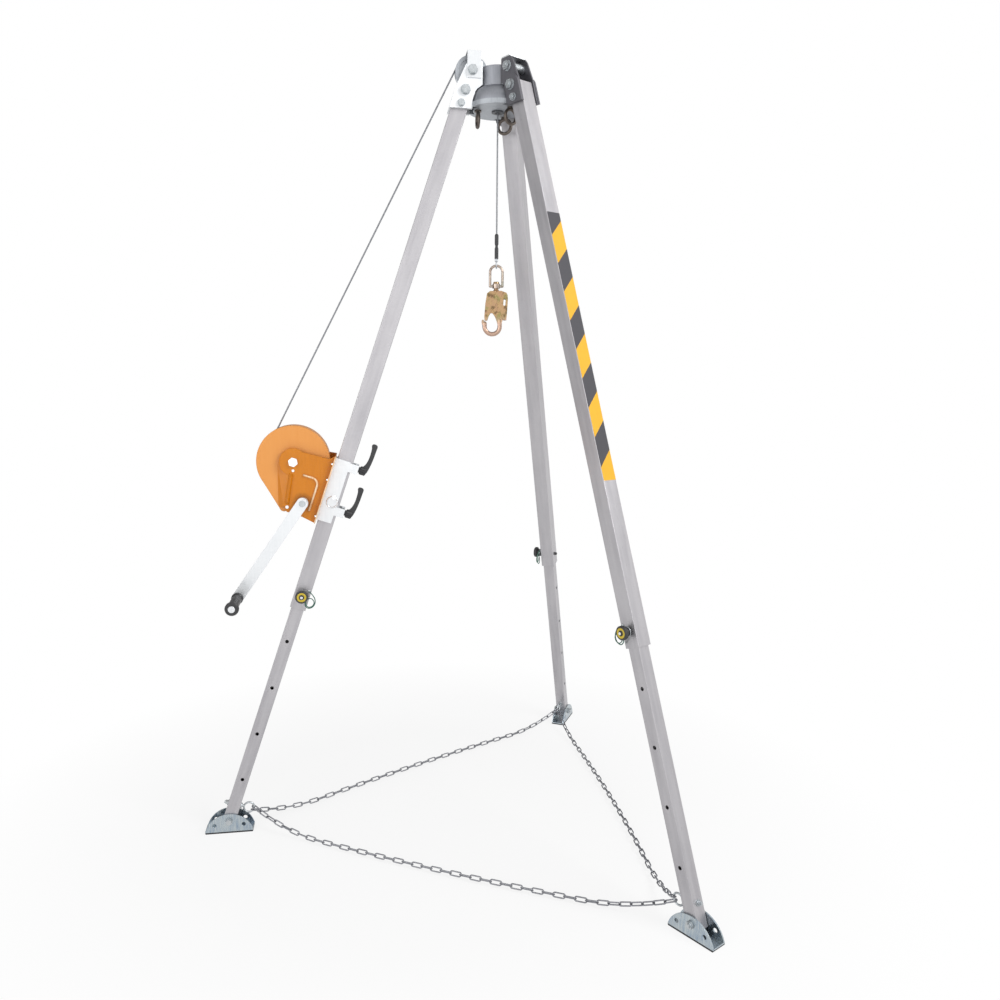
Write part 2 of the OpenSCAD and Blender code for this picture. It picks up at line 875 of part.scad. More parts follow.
// Clamp lever: threaded stud, ribbed hub and a handle that curves up along the leg to a wide tip
lever_edge = [[-52, 8], [-60, 15], [-66, 28], [-69, 48], [-68, lever_reach - 18], [-65, lever_reach - 7],
  [-68, lever_reach - 1], [-77, lever_reach], [-83, lever_reach - 4], [-83, lever_reach - 16], [-82, 48],
  [-80, 26], [-77, 8], [-73, -5], [-65, -9], [-55, -8]];

module winch_lever(z) {
  color("#2d2e31")
    on_leg(0)
      translate([0, 0, z]) {
        bar_x(6 - fit, -70, -outer_tube / 2 - 4 - gap, 0, 0);
        bar_x(9, -51, -47, 0, 0);
        bar_x(11.5, -72, -51, 0, 0);
        translate([-70, 0, 0])
          rotate([0, 90, 0])
            linear_extrude(17)
              for (k = [0 : 2])
                rotate(60 * k)
                  square([27, 6], center = true);
        upright(-7, 7)
          polygon(smooth_line(concat(lever_edge, [lever_edge[0]]), 3));
      }
}

module winch_lever_top() {
  winch_lever(clamp_at[1]);
}

module winch_lever_low() {
  winch_lever(clamp_at[0]);
}

// Pin that keeps the winch at its place on the leg, with a pull ring
module winch_lock_pin() {
  side = outer_tube / 2 + gap + 5;
  color("#d5d7da")
    on_leg(0) {
      bar_y(4, 0, winch_at, outer_tube / 2 - outer_wall + gap, side + 7);
      bar_y(7, 0, winch_at, side + gap, side + 4);
      translate([0, side + 5.5, winch_at - 17])
        rotate([90, 0, 0])
          rotate_extrude()
            translate([17, 0])
              circle(r = 1.6);
    }
}

// Two circles and the two straight sides that join them, set in a little so that they cut the circles
module drop_outline(a, ra, b, rb) {
  way = b - a;
  set_in = 0.4;
  turn = atan2(way[1], way[0]);
  lean = acos((ra - rb) / norm(way));
  translate(a)
    circle(r = ra);
  translate(b)
    circle(r = rb);
  polygon([for (q = [[a, ra, lean], [b, rb, lean], [b, rb, -lean], [a, ra, -lean]])
    q[0] + (q[1] - set_in) * [cos(turn + q[2]), sin(turn + q[2])]]);
}

// Front of the frame: an arch round the drum axle and a foot down to the shaft
module frame_front_outline() {
  difference() {
    union() {
      translate(drum)
        circle(r = arch_r);
      polygon([[frame_x, frame_high], [frame_x + 18, frame_high - 18], [drum[0] - 18, drum[1] + arch_r - 4],
        drum, [drum[0] + 2, drum[1] - arch_r + 8], [apex[0], apex[1] + 6], [apex[0] - 12, apex[1] - 10],
        [shaft[0] - 4, shaft[1] - 42], [frame_x + 4, frame_low], [frame_x, frame_low]]);
    }
    translate(shaft)
      circle(r = shaft_r + fit);
    translate(drum)
      circle(r = shaft_r);
  }
}

module frame_back_outline() {
  difference() {
    union() {
      translate(drum)
        circle(r = arch_r);
      translate(shaft)
        circle(r = 30);
      polygon([[frame_x, frame_high], [drum[0], drum[1] + arch_r], [drum[0] + 20, drum[1] - arch_r + 5],
        [shaft[0], shaft[1] - 30], [frame_x, frame_low]]);
    }
    translate(shaft)
      circle(r = shaft_r + fit);
    translate(drum)
      circle(r = shaft_r);
  }
}

// Pressed rib on the front plate: it runs in from the axle, turns a corner and goes down to the foot
module frame_rib_outline() {
  bend = [frame_x + 49, shaft[1] + 62];
  r_in = 17;
  r_out = 24;
  trim = 0.4;
  intersection() {
    translate(bend)
      difference() {
        circle(r = r_out);
        circle(r = r_in);
      }
    translate(bend - [2 * r_out, 0])
      square(2 * r_out);
  }
  translate(bend + [-4, r_in + trim])
    square([34, r_out - r_in - 2 * trim]);
  translate(bend + [trim - r_out, -82])
    square([r_out - r_in - 2 * trim, 86]);
}

// Frame: a base with a flange, a front and a back plate, a pressed rib and a sloping web to the cover
module winch_frame() {
  color("#d98a26")
    on_leg(0) {
      translate([frame_x, cover_back - 2 * sheet, frame_low])
        cube([sheet, front_t + 3 * sheet + frame_flange - cover_back, frame_high - frame_low]);
      upright(front_t, front_t + sheet)
        frame_front_outline();
      upright(cover_back - 2 * sheet, cover_back - sheet)
        frame_back_outline();
      hull() {
        translate([drum[0] + 34, cover_front, drum[1] - 24])
          cube([8, 1, 24]);
        translate([apex[0] + 8, cover_front, apex[1] - 4])
          cube([8, 1, 8]);
        translate([drum[0] - 2, front_t, drum[1] - 40])
          cube([4, sheet, 8]);
        translate([apex[0] - 2, front_t, apex[1] + 4])
          cube([4, sheet, 4]);
      }
      upright(front_t + sheet, front_t + sheet + 2.5)
        frame_rib_outline();
    }
}

// Cover round the drum and the gear, with a gate for the rope and a bay for the pinion
module winch_cover() {
  wall = 2;
  rope_gate = rope_start + 70 * [-rope_side[1], rope_side[0]];
  color("#f0a04a")
    on_leg(0)
      difference() {
        union() {
          upright(cover_back, cover_back + wall)
            drop_outline(drum, cover_r, apex, apex_r);
          upright(cover_front - wall, cover_front)
            drop_outline(drum, cover_r, apex, apex_r);
          upright(cover_back, cover_front)
            difference() {
              drop_outline(drum, cover_r, apex, apex_r);
              drop_outline(drum, cover_r - wall, apex, apex_r - wall);
            }
        }
        bar_y(pinion_pitch + 6, shaft[0], shaft[1], cover_back - 1, cover_front + 1);
        bar_y(shaft_r, drum[0], drum[1], cover_back - 1, cover_front + 1);
        translate([rope_gate[0] - rope_gate_wide / 2, -rope_d - 2, rope_gate[1] - rope_gate_long / 2])
          cube([rope_gate_wide, 2 * rope_d + 4, rope_gate_long]);
      }
}

// Drum axle with its nuts, the apex bolt, and the bolts along the base
module winch_bolts() {
  back = cover_back - 2 * sheet;
  front = front_t + sheet;
  color("#d5d7da")
    on_leg(0) {
      bar_y(shaft_r, drum[0], drum[1], back - 8, front + 4);
      hex_y(26, drum[0], drum[1], front, front + 8);
      hex_y(26, drum[0], drum[1], back - 7, back);
      bar_y(4, drum[0] - 8, drum[1] - 25, front, front + 4);
      bar_y(5, apex[0] - 9, apex[1] + 5, front, front + 4);
      for (z = frame_bolt_at, y = [-22, 22, front + frame_flange / 2])
        translate([frame_x + sheet, y, z])
          rotate([0, 90, 0])
            cylinder(r1 = 4.8, r2 = 3.4, h = 4.5);
    }
}

// Involute gear: half the tooth angle at a radius, and the outline of all teeth
pressure = 20;
function involute(a) = tan(a) * 180 / PI - a;
function half_tooth(r, rp) =
  let (rb = rp * cos(pressure), a = r > rb ? acos(rb / r) : 0)
  0.44 * 90 * gear_module / rp + involute(pressure) - involute(a);

module gear_outline(teeth) {
  rp = gear_module * teeth / 2;
  root = rp - 1.1 * gear_module;
  tip = rp + 0.7 * gear_module;
  steps = 5;
  radii = [for (k = [0 : steps]) root + (tip - root) * k / steps];
  polygon([for (t = [0 : teeth - 1], s = [-1, 1], k = [0 : steps])
    let (r = s < 0 ? radii[k] : radii[steps - k], a = 360 * t / teeth + s * half_tooth(r, rp))
    r * [cos(a), sin(a)]]);
}

// Drum with its two flanges, and the rope that is wound on it
module winch_drum() {
  half = 26;
  color("#8f9398")
    on_leg(0)
      translate([drum[0], 0, drum[1]])
        rotate([-90, 0, 0])
          rotate_extrude()
            polygon([[shaft_r + fit, -half - 1], [drum_core, -half - 1], [drum_core, -half],
              [drum_flange, -half], [drum_flange, 3 - half], [drum_core, 3 - half], [drum_core, half - 3],
              [drum_flange, half - 3], [drum_flange, half], [drum_core, half], [drum_core, half + 3],
              [shaft_r + fit, half + 3]]);
  color("#8a8c8f")
    on_leg(0)
      translate([drum[0], 0, drum[1]])
        rotate([-90, 0, 0])
          rotate_extrude()
            translate([drum_core, 3 - half])
              square([wound_r - drum_core, 2 * half - 6]);
}

module winch_gear() {
  color("#7d8288")
    on_leg(0)
      difference() {
        translate([drum[0], 0, drum[1]])
          upright(29, 39)
            rotate(shaft_angle + 180 / gear_teeth)
              gear_outline(gear_teeth);
        bar_y(shaft_r + fit, drum[0], drum[1], 28, 40);
      }
}

// Crank shaft with the pinion cut on it
module winch_pinion() {
  color("#9a9ea3")
    on_leg(0) {
      bar_y(shaft_r, shaft[0], shaft[1], cover_back - 2 * sheet - 6, crank_t + crank_bar + 12);
      translate([shaft[0], 0, shaft[1]])
        upright(28, 40)
          rotate(shaft_angle + 180)
            gear_outline(pinion_teeth);
    }
}

// Crank: a flat arm with a hub, the shaft's nut and the pin of the grip
module winch_crank() {
  half = 17.5;
  far = crank_t + crank_bar;
  across = half * [-sin(crank_angle), cos(crank_angle)];
  color("#e0e2e4")
    on_leg(0) {
      difference() {
        union() {
          upright(crank_t, far) {
            for (p = [shaft, crank_end])
              translate(p)
                circle(r = half);
            polygon([shaft + across, shaft - across, crank_end - across, crank_end + across]);
          }
          bar_y(half, shaft[0], shaft[1], front_t + sheet + gap, crank_t);
        }
        bar_y(shaft_r, shaft[0], shaft[1], 0, 2 * far);
      }
      difference() {
        hex_y(28, shaft[0], shaft[1], far, far + 9);
        bar_y(shaft_r, shaft[0], shaft[1], 0, 2 * far);
      }
      bar_y(6, crank_end[0], crank_end[1], far, far + grip_length + 3);
      bar_y(10, crank_end[0], crank_end[1], far + grip_length + gap, far + grip_length + 4);
    }
}

// Grip that turns on the crank's pin
module winch_grip() {
  color("#242527")
    on_leg(0)
      translate([crank_end[0], crank_t + crank_bar + gap, crank_end[1]])
        rotate([-90, 0, 0])
          rotate_extrude()
            polygon([[6 + fit, 0], [18, 0], [18, 6], [14.5, 14], [15.5, 55], [14.5, grip_length - 26],
              [18, grip_length - 16], [20.5, grip_length - 10], [20.5, grip_length - 3],
              [18, grip_length - 0.5], [6 + fit, grip_length - 0.5]]);
}

// Rope

// From the drum to the pulley, straight
module rope_run() {
  way = rope_stop - rope_start;
  color("#77797d")
    on_leg(0)
      translate([rope_start[0], 0, rope_start[1]])
        rotate([0, atan2(way[0], way[1]), 0])
          cylinder(r = rope_r, h = norm(way));
}

// Over the pulley and down to the bush
module rope_head() {
  way = [0, base_top] - rope_leave;
  color("#77797d")
    on_sector(0) {
      translate([pulley_x, 0, pulley_z])
        rotate([90, 0, 0])
          rotate(rope_on)
            rotate_extrude(angle = rope_off - rope_on)
              translate([rope_pulley, 0])
                circle(r = rope_r);
      translate([rope_leave[0], 0, rope_leave[1]])
        rotate([0, atan2(way[0], way[1]), 0])
          cylinder(r = rope_r, h = norm(way));
      translate([0, 0, base_top])
        sphere(r = rope_r);
      translate([0, 0, base_low])
        cylinder(r = rope_r, h = base_plate);
    }
}

module rope_hang() {
  color("#77797d")
    on_axis()
      translate([0, 0, hook_z])
        cylinder(r = rope_r, h = base_low - hook_z);
}

// A place on the hook: x across its face, z down to 0 at the rope's sleeve
module on_hook() {
  translate([axis_x, 0, hook_z])
    rotate([0, 0, hook_yaw])
      children();
}

// Rope end: two sleeves, a pressed ferrule and the rope's eye
module rope_end() {
  eye = 10;
  color("#26272a")
    on_hook() {
      rotate_extrude()
        polygon([[0, 0], [4, 0], [6, -4], [6, -31], [4.4, -35], [4.4, -40], [6, -44], [6, -74], [5, -77],
          [5, -84], [0, -84]]);
      translate([0, 0, -84 - eye])
        rotate([90, 0, 90])
          rotate_extrude()
            translate([eye, 0])
              circle(r = rope_r - 0.1);
    }
}

// Swivel link: an oval bar with a bored boss at its lower end
link_top = -84 - 20 + 2.5 + 4.5;
link_high = 71;
link_wide = 47;

module hook_link() {
  arc = link_wide / 2 - link_bar;
  low = link_top - link_high + 2 * link_bar;
  color("#cdb98f")
    on_hook()
      difference() {
        union() {
          translate([0, 0, link_top - arc])
            rotate([90, 0, 0])
              rotate_extrude(angle = 180)
                translate([arc, 0])
                  circle(r = link_bar);
          for (s = [-1, 1])
            translate([s * arc, 0, low])
              cylinder(r = link_bar, h = link_top - arc - low);
          for (s = [-1, 1])
            translate([s * arc, 0, low])
              sphere(r = link_bar);
          bar_x(link_bar, -arc, arc, 0, low);
          translate([0, 0, low - 7])
            cylinder(r = 12, h = 14);
        }
        translate([0, 0, low - 8])
          cylinder(r = 7 + fit, h = 16);
      }
}

// Hook places: the bowl's middle, the gate's pin and the lock's pin
shank_top = link_top - link_high - 6;
bowl = [-12, shank_top - 111];
bowl_arc = 24;
bowl_bar = 7;
gate_pin = [-22, shank_top - 16];
lock_pin = [27, shank_top - 14];
hook_pin_r = 3;
gate_side = 3;
lock_side = 2.5;

// Forging: a shank with two collars, a broad upper body and a bowl of round bar that ends in a lipped nose
module hook_body() {
  half = hook_thick / 2;
  swivel_head = link_top - link_high + 2 * link_bar + 7 + gap;
  color("#c9ae74")
    on_hook() {
      translate([0, 0, shank_top - 4])
        cylinder(r = 7, h = swivel_head - shank_top + 5);
      translate([0, 0, shank_top - 1])
        cylinder(r1 = 10, r2 = 8, h = 4);
      translate([0, 0, swivel_head])
        cylinder(r1 = 10, r2 = 8.5, h = 6);
      translate([bowl[0], 0, bowl[1]]) {
        rotate([90, 0, 0])
          rotate([0, 0, 180])
            rotate_extrude(angle = 180)
              translate([bowl_arc, 0])
                circle(r = bowl_bar);
        for (end = [[-bowl_arc, 9], [bowl_arc, 20]])
          translate([end[0], 0, 0]) {
            cylinder(r = bowl_bar, h = end[1]);
            translate([0, 0, end[1]])
              sphere(r = bowl_bar);
          }
      }
      upright(-half, half) {
        polygon([bowl + [-bowl_arc - 8, 4], bowl + [-bowl_arc - 4, 4], bowl + [-bowl_arc - 2, 20],
          bowl + [-bowl_arc - 8, 21], bowl + [-bowl_arc - 10, 14]]);
        polygon([bowl + [bowl_arc - 4, 3], bowl + [bowl_arc + 3, 3], bowl + [bowl_arc + 10, 22],
          bowl + [bowl_arc + 12, 50], bowl + [bowl_arc + 7.5, 64], bowl + [bowl_arc + 7.5, 85],
          lock_pin + [6, -6], lock_pin + [9, 0], lock_pin + [6, 8], [16, shank_top],
          [-19, shank_top - 1], gate_pin + [-7, 8], gate_pin + [-8, -6], gate_pin + [-8, -25],
          gate_pin + [-4, -47], gate_pin + [0, -53], gate_pin + [11, -54], bowl + [6.5, 34],
          bowl + [11.5, 24], bowl + [15.5, 12], bowl + [17.6, 3]]);
      }
      bar_y(hook_pin_r, gate_pin[0], gate_pin[1], -half - 5, half + 5);
      bar_y(hook_pin_r, lock_pin[0], lock_pin[1], -half - 8, half + 8);
    }
}

// Gate: two broad cheeks on the gate pin, joined at the nose by a block that closes on it from inside
module hook_gate() {
  half = hook_thick / 2;
  low = bowl + [-24, 18];
  color("#d2b77c")
    on_hook() {
      both_sides()
        upright(half + gap, half + gate_side + gap)
          difference() {
            union() {
              translate(gate_pin)
                circle(r = 8);
              polygon([gate_pin + [-8, 0], gate_pin + [-12, -25], low + [-1, 12], low, low + [8, 0],
                low + [13, 15], low + [23, 31], low + [30, 41], low + [38, 55], gate_pin + [26, -8],
                gate_pin + [18, 6], gate_pin + [4, 7]]);
            }
            translate(gate_pin)
              circle(r = hook_pin_r + fit);
          }
      upright(-half - gate_side - gap, half + gate_side + gap)
        polygon([low, low + [8, 0], low + [10, 9], low + [-0.5, 9]]);
    }
}

// Lock lever on the back of the hook: its two sides reach over the gate's cheeks towards the throat
module hook_lock() {
  half = hook_thick / 2;
  near = half + gate_side + 2 * gap;
  heel = bowl + [45, 20];
  color("#bfa368")
    on_hook() {
      both_sides()
        upright(near, near + lock_side)
          difference() {
            union() {
              translate(lock_pin)
                circle(r = 7);
              polygon([lock_pin + [-6, 3], lock_pin + [9, 2], lock_pin + [10.5, -11], heel + [2.5, 30], heel,
                heel + [-10, 0], heel + [-20, 26], heel + [-36, 22], heel + [-43, 32], heel + [-34, 40],
                heel + [-26, 48]]);
            }
            translate(lock_pin)
              circle(r = hook_pin_r + fit);
            for (at = [[0, -15], [-1, -29]])
              translate(lock_pin + at)
                circle(r = 3.6);
            polygon([lock_pin + [-3.2, -15], lock_pin + [3.2, -15], lock_pin + [2.2, -29],
              lock_pin + [-4.2, -29]]);
          }
      upright(-near - lock_side, near + lock_side)
        polygon([lock_pin + [7.5, -11], lock_pin + [10.5, -11], heel + [2.5, 30], heel, heel + [-3, 0],
          heel + [-0.5, 30]]);
    }
}

module leg_a_outer() { leg_outer(0); }
module leg_a_inner() { leg_inner(0); }
module leg_a_bolts() { leg_bolts(0); }
module leg_a_foot() { leg_foot(0); }
module leg_a_sole() { leg_sole(0); }
module leg_a_pin() { leg_pin(0); }
module leg_a_button() { leg_button(0); }
module leg_a_lanyard() { leg_lanyard(0); }
module leg_a_chain() { leg_chain(0); }
module leg_b_outer() { leg_outer(1); }
module leg_b_inner() { leg_inner(1); }
module leg_b_bolts() { leg_bolts(1); }
module leg_b_foot() { leg_foot(1); }
module leg_b_sole() { leg_sole(1); }
module leg_b_pin() { leg_pin(1); }
module leg_b_button() { leg_button(1); }
module leg_b_lanyard() { leg_lanyard(1); }
module leg_b_chain() { leg_chain(1); }
module leg_c_outer() { leg_outer(2); }
module leg_c_inner() { leg_inner(2); }
module leg_c_bolts() { leg_bolts(2); }
module leg_c_foot() { leg_foot(2); }
module leg_c_sole() { leg_sole(2); }
module leg_c_pin() { leg_pin(2); }
module leg_c_button() { leg_button(2); }
module leg_c_lanyard() { leg_lanyard(2); }
module leg_c_chain() { leg_chain(2); }

head_bell();
head_base();
head_side_plates();
head_hinge_plates();
head_bridges();
hinge_bolts();
stop_bolts();
pulley_bolts();
head_eyes();
rope_bush();
pulley();
leg_a_outer();
leg_a_inner();
leg_a_bolts();
leg_a_foot();
leg_a_sole();
leg_a_pin();
leg_a_button();
leg_a_lanyard();
leg_a_chain();
leg_b_outer();
leg_b_inner();
leg_b_bolts();
leg_b_foot();
leg_b_sole();
leg_b_pin();
leg_b_button();
leg_b_lanyard();
leg_b_chain();
leg_c_outer();
leg_c_inner();
leg_c_bolts();
leg_c_foot();
leg_c_sole();
leg_c_pin();
leg_c_button();
leg_c_lanyard();
leg_c_chain();
winch_bracket();
winch_clamps();
winch_lever_top();
winch_lever_low();
winch_lock_pin();
winch_frame();
winch_cover();
winch_bolts();
winch_drum();
winch_gear();
winch_pinion();
winch_crank();
winch_grip();
rope_run();
rope_head();
rope_hang();
rope_end();
hook_link();
hook_body();
hook_gate();
hook_lock();
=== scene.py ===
# %% [markdown]
# # A rescue tripod, dressed for its photograph
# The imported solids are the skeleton: they hold every size, joint and bolt. This lesson
# gives them their finishes, and adds what solids don't carry well: laid wire rope, coated
# lanyards, loose chain and hazard tape. Everything is in metres, with the floor at z = 0.

# %% Load the solids
import json
import math

import bmesh
import bpy
from mathutils import Matrix, Vector
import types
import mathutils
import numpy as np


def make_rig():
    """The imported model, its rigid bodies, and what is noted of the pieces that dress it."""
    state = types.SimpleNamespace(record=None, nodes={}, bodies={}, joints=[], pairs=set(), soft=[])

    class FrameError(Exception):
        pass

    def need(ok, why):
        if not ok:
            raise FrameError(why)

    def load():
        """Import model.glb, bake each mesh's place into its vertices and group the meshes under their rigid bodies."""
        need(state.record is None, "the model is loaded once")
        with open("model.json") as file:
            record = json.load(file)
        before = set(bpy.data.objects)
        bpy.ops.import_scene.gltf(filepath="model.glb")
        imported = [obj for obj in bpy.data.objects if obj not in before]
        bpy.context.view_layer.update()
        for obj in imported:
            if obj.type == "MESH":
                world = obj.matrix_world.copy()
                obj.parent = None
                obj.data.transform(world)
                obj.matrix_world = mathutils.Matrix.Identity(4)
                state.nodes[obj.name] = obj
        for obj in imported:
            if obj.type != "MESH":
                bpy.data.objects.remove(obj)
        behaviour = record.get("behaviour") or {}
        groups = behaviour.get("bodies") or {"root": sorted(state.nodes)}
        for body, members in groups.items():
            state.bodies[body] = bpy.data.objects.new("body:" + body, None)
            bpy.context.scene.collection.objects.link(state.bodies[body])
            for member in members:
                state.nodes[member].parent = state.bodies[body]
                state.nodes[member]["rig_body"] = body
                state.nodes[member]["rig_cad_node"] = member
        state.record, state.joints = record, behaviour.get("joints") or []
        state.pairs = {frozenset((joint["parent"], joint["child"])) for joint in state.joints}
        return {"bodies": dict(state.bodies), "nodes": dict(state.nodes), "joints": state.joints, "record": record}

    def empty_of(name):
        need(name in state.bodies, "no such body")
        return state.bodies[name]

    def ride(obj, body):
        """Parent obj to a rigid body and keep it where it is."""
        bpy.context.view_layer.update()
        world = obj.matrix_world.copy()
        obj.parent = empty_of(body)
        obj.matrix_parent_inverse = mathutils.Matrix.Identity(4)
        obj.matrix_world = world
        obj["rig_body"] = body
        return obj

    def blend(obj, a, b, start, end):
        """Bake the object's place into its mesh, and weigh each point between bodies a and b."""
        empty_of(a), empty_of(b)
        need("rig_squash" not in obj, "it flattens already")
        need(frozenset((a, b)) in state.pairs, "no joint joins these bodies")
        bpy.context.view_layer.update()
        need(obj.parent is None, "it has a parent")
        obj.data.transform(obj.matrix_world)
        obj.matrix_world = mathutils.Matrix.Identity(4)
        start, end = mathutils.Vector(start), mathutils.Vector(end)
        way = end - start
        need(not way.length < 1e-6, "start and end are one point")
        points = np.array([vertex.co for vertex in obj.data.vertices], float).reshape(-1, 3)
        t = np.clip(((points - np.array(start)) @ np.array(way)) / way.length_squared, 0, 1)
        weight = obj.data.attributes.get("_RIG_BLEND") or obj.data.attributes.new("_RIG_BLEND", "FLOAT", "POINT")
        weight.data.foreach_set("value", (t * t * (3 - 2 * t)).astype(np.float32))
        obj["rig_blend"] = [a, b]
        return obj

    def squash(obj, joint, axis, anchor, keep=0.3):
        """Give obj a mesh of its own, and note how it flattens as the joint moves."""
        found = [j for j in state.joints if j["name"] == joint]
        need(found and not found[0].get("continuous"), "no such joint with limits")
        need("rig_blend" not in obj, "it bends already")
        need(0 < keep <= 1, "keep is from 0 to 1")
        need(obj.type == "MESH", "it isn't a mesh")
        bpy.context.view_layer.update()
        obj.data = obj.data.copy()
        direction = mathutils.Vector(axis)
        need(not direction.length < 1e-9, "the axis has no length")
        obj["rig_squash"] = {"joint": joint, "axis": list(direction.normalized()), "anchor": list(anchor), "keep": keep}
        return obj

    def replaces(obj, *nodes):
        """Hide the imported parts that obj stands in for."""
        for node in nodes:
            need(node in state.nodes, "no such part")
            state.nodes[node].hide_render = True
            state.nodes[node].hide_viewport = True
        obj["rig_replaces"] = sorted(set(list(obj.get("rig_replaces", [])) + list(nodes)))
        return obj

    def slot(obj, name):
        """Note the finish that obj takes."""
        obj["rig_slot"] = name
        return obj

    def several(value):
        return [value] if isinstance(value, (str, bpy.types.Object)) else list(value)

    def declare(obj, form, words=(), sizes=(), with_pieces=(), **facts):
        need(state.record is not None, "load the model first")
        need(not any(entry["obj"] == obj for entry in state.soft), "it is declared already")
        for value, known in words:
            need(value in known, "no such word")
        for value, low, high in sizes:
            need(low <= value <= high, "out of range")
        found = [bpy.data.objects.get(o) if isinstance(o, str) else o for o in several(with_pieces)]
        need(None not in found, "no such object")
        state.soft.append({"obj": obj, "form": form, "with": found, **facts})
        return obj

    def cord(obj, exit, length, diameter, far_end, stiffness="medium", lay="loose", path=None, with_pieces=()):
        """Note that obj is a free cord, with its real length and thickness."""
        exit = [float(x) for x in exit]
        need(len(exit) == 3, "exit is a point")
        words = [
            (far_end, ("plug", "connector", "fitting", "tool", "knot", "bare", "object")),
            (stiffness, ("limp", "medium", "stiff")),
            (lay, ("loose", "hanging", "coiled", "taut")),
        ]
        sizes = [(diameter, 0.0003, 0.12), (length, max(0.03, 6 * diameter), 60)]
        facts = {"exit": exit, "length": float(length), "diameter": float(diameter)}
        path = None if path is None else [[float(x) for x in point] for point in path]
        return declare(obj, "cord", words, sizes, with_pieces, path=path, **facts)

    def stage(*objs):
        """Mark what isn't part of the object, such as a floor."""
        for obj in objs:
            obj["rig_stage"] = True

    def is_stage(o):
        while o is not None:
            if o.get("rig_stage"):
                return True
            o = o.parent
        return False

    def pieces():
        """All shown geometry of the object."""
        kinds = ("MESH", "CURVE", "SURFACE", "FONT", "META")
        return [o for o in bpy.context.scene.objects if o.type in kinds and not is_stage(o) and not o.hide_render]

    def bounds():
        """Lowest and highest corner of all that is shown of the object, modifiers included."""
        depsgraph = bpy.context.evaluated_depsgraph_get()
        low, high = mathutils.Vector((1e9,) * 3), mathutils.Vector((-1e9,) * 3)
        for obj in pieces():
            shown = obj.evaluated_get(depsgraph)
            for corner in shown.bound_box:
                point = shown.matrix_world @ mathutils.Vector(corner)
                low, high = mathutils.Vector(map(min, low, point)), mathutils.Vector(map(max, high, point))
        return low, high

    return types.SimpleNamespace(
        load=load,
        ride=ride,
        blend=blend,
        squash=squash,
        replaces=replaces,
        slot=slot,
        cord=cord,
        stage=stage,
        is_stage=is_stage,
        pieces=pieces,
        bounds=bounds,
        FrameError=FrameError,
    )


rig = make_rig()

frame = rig.load()
cad_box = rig.bounds()
nodes = frame["nodes"]
print("solids loaded:", len(nodes), "nodes,", len(frame["bodies"]), "bodies")

# %% [markdown]
# ## Where things are
# A leg has its own directions: outward from its face, round the head, and up from the foot
# pivot. One function turns such a place into the shared frame, so a piece that belongs on a
# leg is placed in the leg's own terms, as its maker would measure it.

# %% Places on the tripod
LEG_LENGTH = 2.415
LEAN = math.radians(18.4)
HINGE_RADIUS = 0.105
PIVOT_HEIGHT = 0.040
HINGE_Z = PIVOT_HEIGHT + LEG_LENGTH * math.cos(LEAN)
FOOT_REACH = HINGE_RADIUS + LEG_LENGTH * math.sin(LEAN)
AZIMUTH = {"a": math.radians(180), "b": math.radians(300), "c": math.radians(60)}
PIN_SIDE = {"a": 1, "b": -1, "c": 1}
PIN_AT = 0.785
HEAD_AXIS = Vector((0.224748, 0, 0))


def round_head(leg, reach, across, height):
    """A place given from the head's axis: outward, round and up."""
    turn = Matrix.Rotation(AZIMUTH[leg], 4, "Z")
    return HEAD_AXIS + turn @ Vector((reach, across, height))


def on_leg(leg, out, across, up):
    """A place given on a leg: out of its face, across it and up from the foot pivot."""
    down = LEG_LENGTH - up
    reach = HINGE_RADIUS + out * math.cos(LEAN) + down * math.sin(LEAN)
    height = HINGE_Z + out * math.sin(LEAN) - down * math.cos(LEAN)
    return round_head(leg, reach, across, height)


def leg_matrix(leg):
    """The same as a matrix: x out, y across, z up the leg."""
    origin = on_leg(leg, 0, 0, 0)
    columns = [on_leg(leg, *v) - origin for v in ((1, 0, 0), (0, 1, 0), (0, 0, 1))]
    turn = Matrix([[c[i] for c in columns] for i in range(3)])
    return Matrix.Translation(origin) @ turn.to_4x4()


print("hinge bolts at", round(HINGE_Z, 4), "m, feet at", round(FOOT_REACH, 4), "m from the axis")

# %% [markdown]
# ## Camera
# The photograph was taken from about 2.8 m away at chest height, turned a little down.
# The lens and the place come from the lines of the three legs, so nothing is left to taste.

# %% Camera
CAMERA_PLACE = HEAD_AXIS + Vector((-0.4518, -2.7526, 1.4677))
LOOK = Vector((0.1669, 0.9763, -0.1385))
ROLL = 0.0097
camera_data = bpy.data.cameras.new("camera")
camera_data.sensor_width = 36
camera_data.lens = 30.97
camera_data.clip_end = 50
camera = bpy.data.objects.new("camera", camera_data)
bpy.context.scene.collection.objects.link(camera)
camera.matrix_world = (Matrix.Translation(CAMERA_PLACE)
                       @ LOOK.to_track_quat("-Z", "Y").to_matrix().to_4x4()
                       @ Matrix.Rotation(ROLL, 4, "Z"))
bpy.context.scene.camera = camera
print("camera", [round(v, 3) for v in CAMERA_PLACE], "lens", camera_data.lens)

# %% [markdown]
# ## Helpers for pieces
# A piece is modelled in a bmesh, turned into a mesh once, and rides on the body that
# carries it. Its place stays in its mesh, so the object itself sits at the origin.


# %% Piece helpers
def new_object(name, mesh):
    """An object in the scene for a mesh or a curve."""
    thing = bpy.data.objects.new(name, mesh)
    bpy.context.scene.collection.objects.link(thing)
    return thing


def piece(name, shape, material, body, slot, smooth=True):
    """A finished piece from a bmesh, riding on a body."""
    mesh = bpy.data.meshes.new(name)
    shape.to_mesh(mesh)
    shape.free()
    mesh.materials.append(material)
    mesh.polygons.foreach_set("use_smooth", [smooth] * len(mesh.polygons))
    thing = new_object(name, mesh)
    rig.slot(thing, slot)
    if body:
        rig.ride(thing, body)
    return thing


